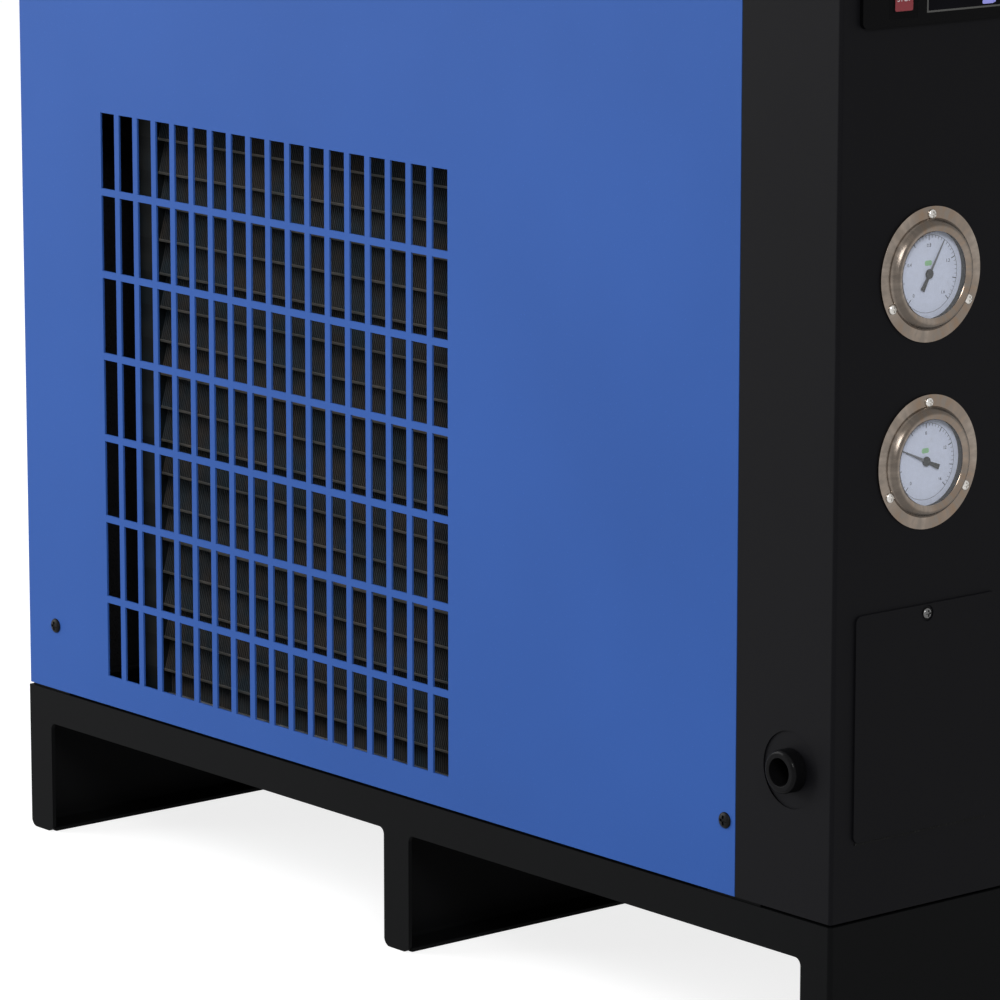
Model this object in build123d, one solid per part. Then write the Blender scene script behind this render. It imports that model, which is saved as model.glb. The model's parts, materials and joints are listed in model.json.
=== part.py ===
from build123d import *
import math
import os

# Refrigerated compressed-air dryer: a sheet-metal cabinet on a welded base with fork pockets.
# The grille in each side lets air through the condenser, and the front carries the controls and two gauges.
# X runs right from the left side, Y runs back from the front face, Z runs up from the floor, in millimetres.
# Finished pieces are moved so that the origin is the bottom centre of the whole dryer.

# Cabinet
width = 520.0
depth = 870.0
height = 890.0
sheet = 1.5
fold_radius = 2.5
seam = 2.0
side_seam = 0.6
lip = 12.0
wrap = 88.4
top_skirt = 28.0
rear_return = 15.0

# Base
base_height = 108.7
base_plate = 3.0
base_fold = 3.0
rail_height = 25.2
foot_depth = 27.0
middle_foot_y = 420.0
foot_radius = 6.0
pocket_radius = 5.0
front_return = 12.0

# Corner posts
post_sheet = 2.0
post_fold = 3.0
post_inward = 30.0
front_post_lap = 22.4
front_post_reach = 29.6
rear_post_width = 48.0

# Grille
slot_width = 16.6
slot_height = 54.7
slot_pitch_y = 22.13
slot_pitch_z = 59.8
slot_columns = 18
slot_rows = 7
grille_rear_margin = 297.2
grille_rise = 230.9

# Panel screws
panel_screw_rise = 50.3
panel_screw_front_margin = 10.0
panel_screw_rear_margin = 35.3
rear_panel_screw_x = 24.0
panel_screw_head_radius = 5.3
panel_screw_head = 2.2
panel_screw_radius = 2.4
panel_screw_length = 8.0
screw_clearance = 0.3

# Access cover in the front
access_x = 78.7
access_rise = 51.8
access_width = 122.2
access_height = 145.0
access_radius = 4.5
access_overlap = 10.0
access_overlap_top = 15.0
access_screw_drop = 6.0
access_tab_width = 14.0
access_tab_spacing = 70.0
access_tab_drop = 8.0
tab_gap = 0.3
dimple_radius = 5.2
dimple_depth = 0.8
access_screw_head_radius = 3.5
access_screw_head = 2.2
access_screw_radius = 2.0
access_screw_length = 9.0

# Control panel
column_x = 77.5
control_drop = 190.0
control_width = 124.6
control_height = 120.0
control_proud = 3.0
control_radius = 4.0
control_box_width = 91.0
control_box_height = 76.0
control_box_depth = 45.0
control_box_gap = 0.4
window_inset = 54.6
window_rise = 7.6
window_width = 65.9
window_height = 50.0
window_depth = 1.0
key_inset = 25.8
key_margin = 8.5
key_size = 16.0
key_spacing = 24.0
key_film = 0.4
key_rise = 0.4
film_margin = 4.0

# Gauges
gauge_rise = 287.3
gauge_spacing = 118.0
gauge_flange_radius = 42.5
gauge_flange = 1.2
gauge_case_radius = 31.0
gauge_case_depth = 28.0
gauge_wall = 1.0
gauge_ledge = 4.0
gauge_hole_gap = 0.5
gauge_boss_radius = 5.0
gauge_socket_radius = 7.0
gauge_socket_length = 14.0
gauge_screw_circle = 37.5
gauge_screw_count = 3
gauge_screw_head_radius = 3.2
gauge_screw_head = 1.8
gauge_screw_radius = 1.9
gauge_screw_length = 7.0
bezel_radius = 32.3
bezel_bore = 27.0
bezel_proud = 7.5
bezel_lip = 1.5
bezel_round = 1.5
glass_radius = 29.5
glass = 1.5
dial_radius = 29.7
dial = 0.8
dial_recess = 1.0
spindle_radius = 1.0
spindle_depth = 14.0
running_gap = 0.05
pointer_hub_radius = 3.5
pointer_hub = 1.2
pointer_lift = 0.4
pointer_blade = 0.6
pointer_length = 23.0
pointer_tail = 15.0
pointer_root_width = 2.2
pointer_tip_width = 0.8
pointer_tail_width = 3.6
pointer_upper_angle = 58.9
pointer_lower_angle = 156.6

# Cable gland in the left return of the front cover
gland_y = 38.0
gland_rise = 94.8
gland_radius = 14.0
gland_proud = 10.0
gland_round = 2.5
gland_bore = 9.0
gland_neck = 11.8
gland_neck_length = 11.0
gland_clearance = 0.2
gland_nut_flats = 29.0
gland_nut = 5.0
dish_radius = 25.0
dish_depth = 1.0

# Condenser coil
coil_x = 27.0
coil_lead = 227.8
coil_length = 392.0
coil_depth = 66.0
coil_rail_height = 12.8
coil_rows = 18
row_pitch = 24.3
fin_wave = 6.0
fin_lip = 1.5
fin_lip_offset = 18.7
end_plate = 1.5
end_flange = 18.5
end_plate_margin = 2.0
tube_radius = 4.8
coil_stub = 18.0

# Fan
shroud_depth = 40.0
fan_ring_radius = 183.0
fan_ring_length = 32.0
fan_radius = 178.0
hub_radius = 45.0
hub_length = 34.0
hub_bore_depth = 30.0
hub_setback = 1.0
blade_count = 5
blade = 2.5
blade_root_chord = 58.0
blade_root_angle = 38.0
blade_tip_chord = 112.0
blade_tip_angle = 17.0
blade_overrun = 8.0
fan_shaft_radius = 5.0
motor_gap = 10.0
motor_radius = 48.0
motor_length = 73.0
motor_cap_radius = 40.0
motor_cap = 7.0
motor_bore = 48.0
shaft_end_gap = 2.0
bracket = 3.0
bracket_arm = 20.0
bracket_arms = 4
bracket_hole = 12.0
bracket_ring_gap = 3.0

# Compressor
compressor_side_margin = 120.0
compressor_y = 250.0
compressor_lift = 11.3
compressor_radius = 90.0
compressor_height = 305.0
compressor_dome = 32.0
weld_ring = 2.0
weld_ring_height = 6.0
foot_plate = 4.0
foot_plate_width = 210.0
foot_plate_round = 14.0
foot_spacing = 170.0
mount_height = 32.0
mount_radius = 14.0
port_spacing = 60.0
port_height = 16.0
terminal_cover_width = 50.0
terminal_cover_height = 70.0
terminal_cover_depth = 28.0
terminal_cover_rise = 120.0
terminal_cover_round = 4.0
seat_gap = 0.3

# Heat exchanger and its stand
exchanger_side_gap = 18.5
exchanger_rear_gap = 38.5
exchanger_top_gap = 68.5
exchanger_rise = 291.3
exchanger_width = 170.0
exchanger_depth = 350.0
exchanger_round = 12.0
stand = 3.0
stand_foot = 30.0

# Water separator and drain
separator_lead = 65.0
separator_rear_margin = 50.0
separator_drop = 70.0
separator_height = 330.0
separator_radius = 57.0
separator_dome = 22.0
separator_nipple = 12.0
separator_nipple_radius = 10.5
separator_port_radius = 21.0
separator_port_low = 110.0
separator_port_high = 240.0
valve_height = 43.0
valve_radius = 15.0
valve_boss_radius = 8.0
valve_boss_reach = 18.0
valve_stem_radius = 3.0
valve_stem_length = 10.0
handle_length = 40.0
handle_width = 10.0
handle_thickness = 5.0
handle_round = 3.3
drain_neck = 13.0
drain_bowl_radius = 30.0
drain_bowl_height = 92.0
drain_bowl_round = 8.0
drain_pipe_radius = 6.0
drain_pipe_drop = 30.0
drain_pipe_bend = 18.0
drain_pipe_proud = 25.0
drain_hole_gap = 0.8
drain_collar_radius = 9.0
drain_collar = 3.0

# Air ports in the rear
air_pipe_radius = 24.0
air_pipe_bore = 20.0
air_pipe_proud = 45.0
air_pipe_drop = 50.0
air_pipe_spacing = 90.0
air_pipe_shoulder_radius = 29.0
air_pipe_shoulder = 6.0
air_hole_gap = 1.0

# Refrigerant lines
discharge_radius = 5.0
suction_radius = 8.0
liquid_radius = 4.8
suction_bend = 30.0
line_bend = 15.0
discharge_rise = 41.1
discharge_run = 75.5
suction_rise = 120.0
liquid_lead = 25.5
liquid_side_gap = 20.0
drier_inset = 55.0
drier_rise = 50.0
drier_radius = 24.0
drier_length = 70.0
drier_cone = 10.0
drier_outlet = 25.0
drier_inlet = 15.0

# Electrical gear behind the access cover
plate_margin = 10.5
plate_height = 190.0
contactor_x = 60.0
contactor_rise = 75.5
contactor_width = 45.0
contactor_height = 75.0
contactor_depth = 60.0
contactor_step = 12.0
terminals_x = 40.0
terminals_rise = 11.5
terminals_height = 34.0
terminals_depth = 34.0
terminal_pitch = 12.0
terminal_count = 7
terminal_wall = 2.0
terminal_well = 10.0

# Levels and faces worked out from the sizes above
near = 0.01
overshoot = 5.0
deck_bottom = base_height - base_plate
rail_bottom = base_height - rail_height
cabinet_bottom = base_height + seam
cabinet_top = height - top_skirt - seam
right_inside = width - sheet
rear_inside = depth - sheet
post_top = height - sheet
panel_screw_z = base_height + panel_screw_rise
panel_screw_front_y = wrap + panel_screw_front_margin
panel_screw_rear_y = depth - panel_screw_rear_margin
front_post_start = wrap - front_post_lap
front_post_end = wrap + front_post_reach
grille_y = depth - grille_rear_margin
grille_z = base_height + grille_rise
coil_bottom = base_height + coil_rail_height
coil_top = coil_bottom + coil_rows * row_pitch
coil_front = grille_y - coil_lead
coil_rear = coil_front + coil_length
coil_back_x = coil_x + coil_depth
coil_tube_x = coil_x + coil_depth / 2
shroud_x = coil_back_x + end_plate_margin
shroud_back_x = shroud_x + shroud_depth
fan_y = coil_front + coil_length / 2
fan_z = (coil_bottom + coil_top) / 2
hub_x = shroud_back_x + hub_setback
fan_x = hub_x + hub_length / 2
bracket_x = hub_x + hub_length + motor_gap - bracket
motor_x = bracket_x + bracket
shaft_start = hub_x + hub_length - hub_bore_depth
shaft_end = motor_x + motor_bore - shaft_end_gap
access_left = access_x - access_width / 2
access_bottom = base_height + access_rise
access_top = access_bottom + access_height
access_screw_z = access_top - access_screw_drop
opening_bottom = access_bottom + access_overlap
opening_top = access_top - access_overlap_top
control_left = column_x - control_width / 2
control_bottom = cabinet_top - control_drop
window_left = control_left + window_inset
window_bottom = control_bottom + window_rise
key_left = control_left + key_inset
key_bottom = control_bottom + key_margin
gauge_lower_z = base_height + gauge_rise
gauge_upper_z = gauge_lower_z + gauge_spacing
gland_z = base_height + gland_rise
control_z = control_bottom + control_height / 2
compressor_x = width - compressor_side_margin
compressor_bottom = base_height + compressor_lift
terminal_cover_z = compressor_bottom + terminal_cover_rise
compressor_top = compressor_bottom + compressor_height
port_top = compressor_top + port_height
foot_plate_z = base_height + mount_height
exchanger_x = right_inside - exchanger_side_gap - exchanger_width
exchanger_rear = rear_inside - exchanger_rear_gap
exchanger_y = exchanger_rear - exchanger_depth
exchanger_z = base_height + exchanger_rise
exchanger_top = post_top - exchanger_top_gap
separator_x = exchanger_x - separator_lead
separator_y = exchanger_rear - separator_rear_margin
separator_bottom = exchanger_z - separator_drop
valve_top = separator_bottom - separator_nipple
valve_bottom = valve_top - valve_height
valve_z = (valve_top + valve_bottom) / 2
bowl_top = valve_bottom - drain_neck
bowl_bottom = bowl_top - drain_bowl_height
drain_z = bowl_bottom - drain_pipe_drop
valve_face_y = separator_y - valve_boss_reach
plate_bottom = access_bottom - plate_margin
plate_top = plate_bottom + plate_height
contactor_z = access_bottom + contactor_rise
terminals_z = access_bottom + terminals_rise
air_inlet_x = exchanger_x + (exchanger_width - air_pipe_spacing) / 2
air_outlet_x = air_inlet_x + air_pipe_spacing
air_pipe_z = exchanger_top - air_pipe_drop
coil_stub_y = coil_front - end_plate - coil_stub
discharge_top = coil_top + discharge_rise
discharge_drop_y = coil_stub_y - discharge_run
suction_z = exchanger_z + suction_rise
liquid_run_y = coil_stub_y - liquid_lead
liquid_run_x = compressor_x - foot_plate_width / 2 - liquid_side_gap
drier_x = exchanger_x + drier_inset
drier_z = exchanger_z + drier_rise

# How far the outermost pieces stand out of the cabinet
left_proud = gland_proud
right_proud = panel_screw_head
front_proud = bezel_proud
rear_proud = air_pipe_proud
origin_x = (width + right_proud - left_proud) / 2
origin_y = (depth + rear_proud - front_proud) / 2


def block(x, y, z):
    """A box between two values on each axis."""
    corner = Pos(x[0], y[0], z[0])
    return corner * Box(x[1] - x[0], y[1] - y[0], z[1] - z[0], align=(Align.MIN, Align.MIN, Align.MIN))


def rod(start, direction, length, radius):
    """A round bar from a point along a direction."""
    base = Plane(origin=start, z_dir=direction)
    return base * Cylinder(radius, length, align=(Align.CENTER, Align.CENTER, Align.MIN))


def mirrored(shape):
    """The same piece on the other side of the cabinet."""
    return mirror(shape, about=Plane.YZ.offset(width / 2))


def upright_edges(shape, x, y):
    """Vertical edges that stand at one place."""
    def is_there(edge):
        middle = edge.center()
        return abs(middle.X - x) < near and abs(middle.Y - y) < near
    return shape.edges().filter_by(Axis.Z).filter_by(is_there)


def edges_along_x(shape, y, z):
    """Edges along X that lie at one place."""
    def is_there(edge):
        middle = edge.center()
        return abs(middle.Y - y) < near and abs(middle.Z - z) < near
    return shape.edges().filter_by(Axis.X).filter_by(is_there)


def bent_tube(points, bend, radius):
    """A round tube through straight runs joined by tangent arcs."""
    path = FilletPolyline(*points, radius=bend)
    section = Plane(origin=path @ 0, z_dir=path % 0) * Circle(radius)
    return sweep(section, path=path)


# Base

def base_front():
    """Front of the base, folded round both corners, with a lip above and below."""
    body = block((0, width), (0, foot_depth), (0, base_height))
    body = fillet(upright_edges(body, 0, 0) + upright_edges(body, width, 0), base_fold)
    inner_x = (base_plate, width - base_plate)
    inner_y = (base_plate, foot_depth)
    body -= block(inner_x, inner_y, (base_plate, deck_bottom - base_plate))
    body -= block(inner_x, inner_y, (deck_bottom, base_height))
    end_cut = block((0, base_plate), (front_return, foot_depth), (0, base_height))
    return body - end_cut - mirrored(end_cut)


def base_side():
    """Left side plate of the base: a rail with three legs between the fork pockets."""
    plate = block((0, base_plate), (front_return, depth), (0, base_height))
    pockets = [
        (foot_depth, middle_foot_y),
        (middle_foot_y + foot_depth, depth - foot_depth),
    ]
    for start, end in pockets:
        plate -= block((0, base_plate), (start, end), (0, rail_bottom))
    for start, end in pockets:
        upper = edges_along_x(plate, start, rail_bottom) + edges_along_x(plate, end, rail_bottom)
        plate = fillet(upper, pocket_radius)
        lower = edges_along_x(plate, start, 0) + edges_along_x(plate, end, 0)
        plate = fillet(lower, foot_radius)
    return fillet(edges_along_x(plate, depth, 0), foot_radius)


def base_channel(front_y):
    """Channel across the base, open to the front, that makes the foot and carries the deck."""
    rear_y = front_y + foot_depth
    inner_x = (base_plate, width - base_plate)
    body = block(inner_x, (front_y, rear_y), (0, deck_bottom))
    body = fillet(edges_along_x(body, rear_y, 0), foot_radius)
    body -= block(inner_x, (front_y, rear_y - base_plate), (base_plate, deck_bottom - base_plate))
    return fillet(edges_along_x(body, rear_y - base_plate, base_plate), foot_radius - base_plate)


def base_deck():
    """Flat plate that closes the base and carries everything inside."""
    return block((base_plate, width - base_plate), (base_plate, depth), (deck_bottom, base_height))


# Frame and panels

def side_screw_places():
    """Y and Z of the screws in a side panel and in the top cover's side skirt."""
    upper_z = cabinet_top - (panel_screw_z - cabinet_bottom)
    levels = (panel_screw_z, upper_z, height - top_skirt / 2)
    return [(y, z) for y in (panel_screw_front_y, panel_screw_rear_y) for z in levels]


def rear_screw_places():
    """X and Z of the screws in the rear panel."""
    upper_z = cabinet_top - (panel_screw_z - cabinet_bottom)
    columns = (rear_panel_screw_x, width - rear_panel_screw_x)
    return [(x, z) for x in columns for z in (panel_screw_z, upper_z)]


def side_screw_holes():
    """Clearance holes for the screws of the left side."""
    radius = panel_screw_radius + screw_clearance
    holes = [rod((-overshoot, y, z), (1, 0, 0), 3 * overshoot, radius) for y, z in side_screw_places()]
    return Part() + holes


def rear_screw_holes():
    """Clearance holes for the screws of the rear panel."""
    radius = panel_screw_radius + screw_clearance
    start = depth - 2 * overshoot
    holes = [rod((x, start, z), (0, 1, 0), 3 * overshoot, radius) for x, z in rear_screw_places()]
    return Part() + holes


def front_post():
    """Left front post: an angle behind the joint of the front cover and the side panel."""
    outer = block((sheet, sheet + post_inward), (front_post_start, front_post_end), (base_height, post_top))
    outer = fillet(upright_edges(outer, sheet, front_post_end), post_fold)
    inside = block(
        (sheet + post_sheet, sheet + post_inward),
        (front_post_start, front_post_end - post_sheet),
        (base_height, post_top),
    )
    return outer - inside - side_screw_holes()


def rear_post():
    """Left rear post: an angle in the corner of the side and rear panels."""
    outer = block((sheet, sheet + post_inward), (rear_inside - rear_post_width, rear_inside), (base_height, post_top))
    outer = fillet(upright_edges(outer, sheet, rear_inside), post_fold)
    inside = block(
        (sheet + post_sheet, sheet + post_inward),
        (rear_inside - rear_post_width, rear_inside - post_sheet),
        (base_height, post_top),
    )
    return outer - inside - side_screw_holes() - rear_screw_holes()


def grille_cut():
    """All the grille slots as one cutting solid through the left side."""
    face = Plane(origin=(-overshoot, grille_y, grille_z), x_dir=(0, 1, 0), z_dir=(1, 0, 0))
    grid = GridLocations(slot_pitch_y, slot_pitch_z, slot_columns, slot_rows)
    slots = Sketch() + grid * Rectangle(slot_width, slot_height)
    return extrude(face * slots, amount=2 * overshoot)


def side_panel():
    """Left side panel: a skin folded round the rear corner, with lips and the grille."""
    levels = (cabinet_bottom, cabinet_top)
    panel = block((0, rear_return), (wrap + side_seam, depth), levels)
    panel = fillet(upright_edges(panel, 0, depth), fold_radius)
    panel -= block((sheet, rear_return), (wrap + side_seam, rear_inside), levels)
    panel = fillet(upright_edges(panel, sheet, rear_inside), fold_radius - sheet)
    lip_y = (front_post_end + lip, rear_inside - rear_post_width - lip)
    panel += block((sheet, sheet + lip), lip_y, (cabinet_bottom, cabinet_bottom + sheet))
    panel += block((sheet, sheet + lip), lip_y, (cabinet_top - sheet, cabinet_top))
    return panel - grille_cut() - side_screw_holes()


def rear_panel():
    """Flat rear panel between the returns of the side panels, with holes for the pipes."""
    edge = rear_return + side_seam
    panel = block((edge, width - edge), (rear_inside, depth), (cabinet_bottom, cabinet_top))
    for x in (air_inlet_x, air_outlet_x):
        panel -= rod((x, rear_inside, air_pipe_z), (0, 1, 0), sheet, air_pipe_radius + air_hole_gap)
    drain_start = (separator_x, rear_inside, drain_z)
    panel -= rod(drain_start, (0, 1, 0), sheet, drain_pipe_radius + drain_hole_gap)
    return panel - rear_screw_holes()


def gauge_screw_places(centre_z):
    """X and Z of the screws round one gauge, the first at the top."""
    turns = [math.radians(90 + 360 / gauge_screw_count * step) for step in range(gauge_screw_count)]
    return [
        (column_x + gauge_screw_circle * math.cos(turn), centre_z + gauge_screw_circle * math.sin(turn))
        for turn in turns
    ]


def front_cover():
    """Front cover: one sheet folded round both front corners, cut for what it carries."""
    levels = (cabinet_bottom, cabinet_top)
    cover = block((0, width), (0, wrap), levels)
    cover = fillet(upright_edges(cover, 0, 0) + upright_edges(cover, width, 0), fold_radius)
    inside = block((sheet, right_inside), (sheet, wrap), levels)
    inner_corners = upright_edges(inside, sheet, sheet) + upright_edges(inside, right_inside, sheet)
    cover -= fillet(inner_corners, fold_radius - sheet)
    lips_x = (sheet, right_inside)
    cover += block(lips_x, (sheet, sheet + lip), (cabinet_bottom, cabinet_bottom + sheet))
    cover += block(lips_x, (sheet, sheet + lip), (cabinet_top - sheet, cabinet_top))
    for centre_z in (gauge_upper_z, gauge_lower_z):
        cover -= rod((column_x, 0, centre_z), (0, 1, 0), sheet, gauge_case_radius + gauge_hole_gap)
        for x, z in gauge_screw_places(centre_z):
            cover -= rod((x, 0, z), (0, 1, 0), sheet, gauge_screw_radius + screw_clearance)
    box_x = (
        column_x - control_box_width / 2 - control_box_gap,
        column_x + control_box_width / 2 + control_box_gap,
    )
    box_z = (
        control_z - control_box_height / 2 - control_box_gap,
        control_z + control_box_height / 2 + control_box_gap,
    )
    cover -= block(box_x, (0, sheet), box_z)
    opening_x = (access_left + access_overlap, access_left + access_width - access_overlap)
    cover -= block(opening_x, (0, sheet), (opening_bottom, opening_top))
    cover -= rod((access_x, 0, access_screw_z), (0, 1, 0), sheet, access_screw_radius + screw_clearance)
    return gland_dish(cover)


def gland_dish(cover):
    """The round dish pressed into the left return, and the gland's hole in it."""
    centre = (0, gland_y, gland_z)
    cover -= rod(centre, (1, 0, 0), dish_depth, dish_radius)
    cover += rod((sheet, gland_y, gland_z), (1, 0, 0), dish_depth, dish_radius + dish_depth)
    hole_radius = gland_neck + gland_clearance
    return cover - rod(centre, (1, 0, 0), sheet + dish_depth, hole_radius)


def top_cover():
    """Lid: a shallow tray turned over the top of the cabinet."""
    lid = block((0, width), (0, depth), (height - top_skirt, height))
    rounded = lid.edges().filter_by(Axis.Z) + lid.edges().group_by(Axis.Z)[-1]
    lid = fillet(rounded, fold_radius)
    lid -= block((sheet, right_inside), (sheet, rear_inside), (height - top_skirt, height - sheet))
    holes = side_screw_holes()
    return lid - holes - mirrored(holes)


def panel_screw(place, inward):
    """Dome-head screw seated on a panel, pointing inward."""
    seat = Plane(origin=place, z_dir=inward)
    head = Pos(0, 0, -panel_screw_head) * Cylinder(
        panel_screw_head_radius, panel_screw_head, align=(Align.CENTER, Align.CENTER, Align.MIN)
    )
    head = fillet(head.edges().group_by(Axis.Z)[0], panel_screw_head / 2)
    shank = Cylinder(panel_screw_radius, panel_screw_length, align=(Align.CENTER, Align.CENTER, Align.MIN))
    return seat * (head + shank)


def panel_screws():
    """Every screw that holds the side panels, the rear panel and the lid."""
    left = [panel_screw((0, y, z), (1, 0, 0)) for y, z in side_screw_places()]
    right = [panel_screw((width, y, z), (-1, 0, 0)) for y, z in side_screw_places()]
    rear = [panel_screw((x, depth, z), (0, -1, 0)) for x, z in rear_screw_places()]
    return Compound(children=left + right + rear)


# Access cover

def access_cover():
    """Small cover over the wiring, hooked below and held by one screw above."""
    plate = block((access_left, access_left + access_width), (-sheet, 0), (access_bottom, access_top))
    plate = fillet(plate.edges().filter_by(Axis.Y), access_radius)
    screw_place = (access_x, -sheet, access_screw_z)
    plate -= rod(screw_place, (0, 1, 0), dimple_depth, dimple_radius)
    plate -= rod(screw_place, (0, 1, 0), sheet, access_screw_radius + screw_clearance)
    for side in (-1, 1):
        middle = access_x + side * access_tab_spacing / 2
        tab_x = (middle - access_tab_width / 2, middle + access_tab_width / 2)
        foot_z = opening_bottom + tab_gap
        back = sheet + tab_gap
        plate += block(tab_x, (0, back + sheet), (foot_z, foot_z + sheet))
        plate += block(tab_x, (back, back + sheet), (opening_bottom - access_tab_drop, foot_z + sheet))
    return plate


def access_cover_screw():
    """The one screw of the access cover, seated in its dimple."""
    seat = (access_x, dimple_depth - sheet, access_screw_z)
    head = rod(seat, (0, -1, 0), access_screw_head, access_screw_head_radius)
    head = fillet(head.edges().group_by(Axis.Y)[0], access_screw_head / 2)
    return head + rod(seat, (0, 1, 0), access_screw_length, access_screw_radius)


# Control panel

def control_panel():
    """Controller: a moulded front with its box behind, pocketed for the window and the keypad."""
    right = control_left + control_width
    top = control_bottom + control_height
    front = block((control_left, right), (-control_proud, 0), (control_bottom, top))
    front = fillet(front.edges().filter_by(Axis.Y), control_radius)
    window = block(
        (window_left, window_left + window_width),
        (-control_proud, window_depth - control_proud),
        (window_bottom, window_bottom + window_height),
    )
    film_x, film_z = keypad_span()
    keypad_seat = block(film_x, (-control_proud, key_film - control_proud), film_z)
    box_x = (column_x - control_box_width / 2, column_x + control_box_width / 2)
    box_z = (control_z - control_box_height / 2, control_z + control_box_height / 2)
    return front - window - keypad_seat + block(box_x, (0, control_box_depth), box_z)


def keypad_span():
    """X and Z limits of the keypad film."""
    film_x = (key_left - film_margin, key_left + key_size + film_margin)
    film_z = (key_bottom - film_margin, key_bottom + key_spacing + key_size + film_margin)
    return film_x, film_z


def keypad():
    """Keypad film with the stop key below and the start key above."""
    film_x, film_z = keypad_span()
    face = key_film - control_proud
    film = block(film_x, (-control_proud, face), film_z)
    for step in (0, 1):
        low = key_bottom + step * key_spacing
        key = block((key_left, key_left + key_size), (-control_proud - key_rise, face), (low, low + key_size))
        film += key
    return film


def display_window():
    """Flat window over the display."""
    return block(
        (window_left, window_left + window_width),
        (-control_proud, window_depth - control_proud),
        (window_bottom, window_bottom + window_height),
    )


# Gauges

def gauge_case(centre_z):
    """Gauge case with its front flange, the ledge for the dial, the spindle's boss and the socket."""
    centre = (column_x, 0, centre_z)
    front = (column_x, -gauge_flange, centre_z)
    case = rod(front, (0, 1, 0), gauge_flange, gauge_flange_radius)
    case += rod(centre, (0, 1, 0), gauge_case_depth, gauge_case_radius)
    seat_depth = gauge_flange + dial_recess + dial
    case -= rod(front, (0, 1, 0), seat_depth, gauge_case_radius - gauge_wall)
    well_radius = gauge_case_radius - gauge_wall - gauge_ledge
    ledge = (column_x, dial_recess + dial, centre_z)
    case -= rod(ledge, (0, 1, 0), gauge_case_depth - gauge_wall - dial_recess - dial, well_radius)
    case += rod(ledge, (0, 1, 0), gauge_case_depth - dial_recess - dial, gauge_boss_radius)
    case += rod((column_x, gauge_case_depth, centre_z), (0, 1, 0), gauge_socket_length, gauge_socket_radius)
    case -= rod(ledge, (0, 1, 0), spindle_depth, spindle_radius + running_gap)
    for x, z in gauge_screw_places(centre_z):
        case -= rod((x, -gauge_flange, z), (0, 1, 0), gauge_flange, gauge_screw_radius + screw_clearance)
    return case


def gauge_bezel(centre_z):
    """Ring that holds the glass on the case."""
    back = (column_x, -gauge_flange, centre_z)
    length = bezel_proud - gauge_flange
    ring = rod(back, (0, -1, 0), length, bezel_radius)
    ring = fillet(ring.edges().group_by(Axis.Y)[0], bezel_round)
    ring -= rod(back, (0, -1, 0), length, bezel_bore)
    seat = length - bezel_lip
    return ring - rod(back, (0, -1, 0), seat, glass_radius + seat_gap)


def gauge_glass(centre_z):
    """Flat window of a gauge, against the bezel's lip."""
    front = (column_x, bezel_lip - bezel_proud, centre_z)
    return rod(front, (0, 1, 0), glass, glass_radius)


def gauge_dial(centre_z):
    """Dial plate on the case's ledge, bored for the spindle."""
    front = (column_x, dial_recess, centre_z)
    plate = rod(front, (0, 1, 0), dial, dial_radius)
    return plate - rod(front, (0, 1, 0), dial, spindle_radius + running_gap)


def gauge_pointer(centre_z, angle):
    """Pointer with its hub, counterweight tail and spindle, turned to its reading."""
    hub_back = dial_recess - pointer_lift
    blade_back = hub_back - (pointer_hub - pointer_blade) / 2
    flat = Plane(origin=(column_x, blade_back, centre_z), x_dir=(1, 0, 0), z_dir=(0, -1, 0))
    root, tip, tail = pointer_root_width / 2, pointer_tip_width / 2, pointer_tail_width / 2
    outline = Polygon(
        (-pointer_tail, -tail),
        (-pointer_hub_radius, -root),
        (pointer_length, -tip),
        (pointer_length, tip),
        (-pointer_hub_radius, root),
        (-pointer_tail, tail),
        align=None,
    )
    needle = extrude(flat * (Rot(0, 0, angle) * outline), amount=pointer_blade)
    hub = rod((column_x, hub_back, centre_z), (0, -1, 0), pointer_hub, pointer_hub_radius)
    spindle_length = spindle_depth - running_gap + pointer_lift
    spindle = rod((column_x, hub_back, centre_z), (0, 1, 0), spindle_length, spindle_radius)
    return needle + hub + spindle


def gauge_screws():
    """The screws of both gauges."""
    screws = []
    for centre_z in (gauge_upper_z, gauge_lower_z):
        for x, z in gauge_screw_places(centre_z):
            seat = (x, -gauge_flange, z)
            head = rod(seat, (0, -1, 0), gauge_screw_head, gauge_screw_head_radius)
            head = fillet(head.edges().group_by(Axis.Y)[0], gauge_screw_head / 2)
            screws.append(head + rod(seat, (0, 1, 0), gauge_screw_length, gauge_screw_radius))
    return Compound(children=screws)


# Cable gland

def cable_gland():
    """Gland body seated in the dish, with its bore for the supply cable."""
    seat = (dish_depth, gland_y, gland_z)
    head = rod(seat, (-1, 0, 0), dish_depth + gland_proud, gland_radius)
    head = fillet(head.edges().group_by(Axis.X)[0], gland_round)
    body = head + rod(seat, (1, 0, 0), gland_neck_length, gland_neck)
    length = dish_depth + gland_proud + gland_neck_length
    return body - rod((-gland_proud, gland_y, gland_z), (1, 0, 0), length, gland_bore)


def cable_gland_nut():
    """Hexagon nut that holds the gland from inside."""
    start = sheet + dish_depth
    face = Plane(origin=(start, gland_y, gland_z), z_dir=(1, 0, 0))
    nut = extrude(face * RegularPolygon(gland_nut_flats / 2, 6, major_radius=False), amount=gland_nut)
    return nut - rod((start, gland_y, gland_z), (1, 0, 0), gland_nut, gland_neck + gland_clearance)


# Condenser and fan

def row_z(row):
    """Height of one tube row of the coil."""
    return coil_bottom + (row + 0.5) * row_pitch


def return_bend(low_row, y, outward):
    """Half-ring tube that joins one row to the next, on the rear or the front end."""
    middle_z = row_z(low_row) + row_pitch / 2
    ring = Torus(row_pitch / 2, tube_radius, major_angle=180)
    return Plane(origin=(coil_tube_x, y, middle_z), x_dir=(0, 0, 1), z_dir=(-outward, 0, 0)) * ring


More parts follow.
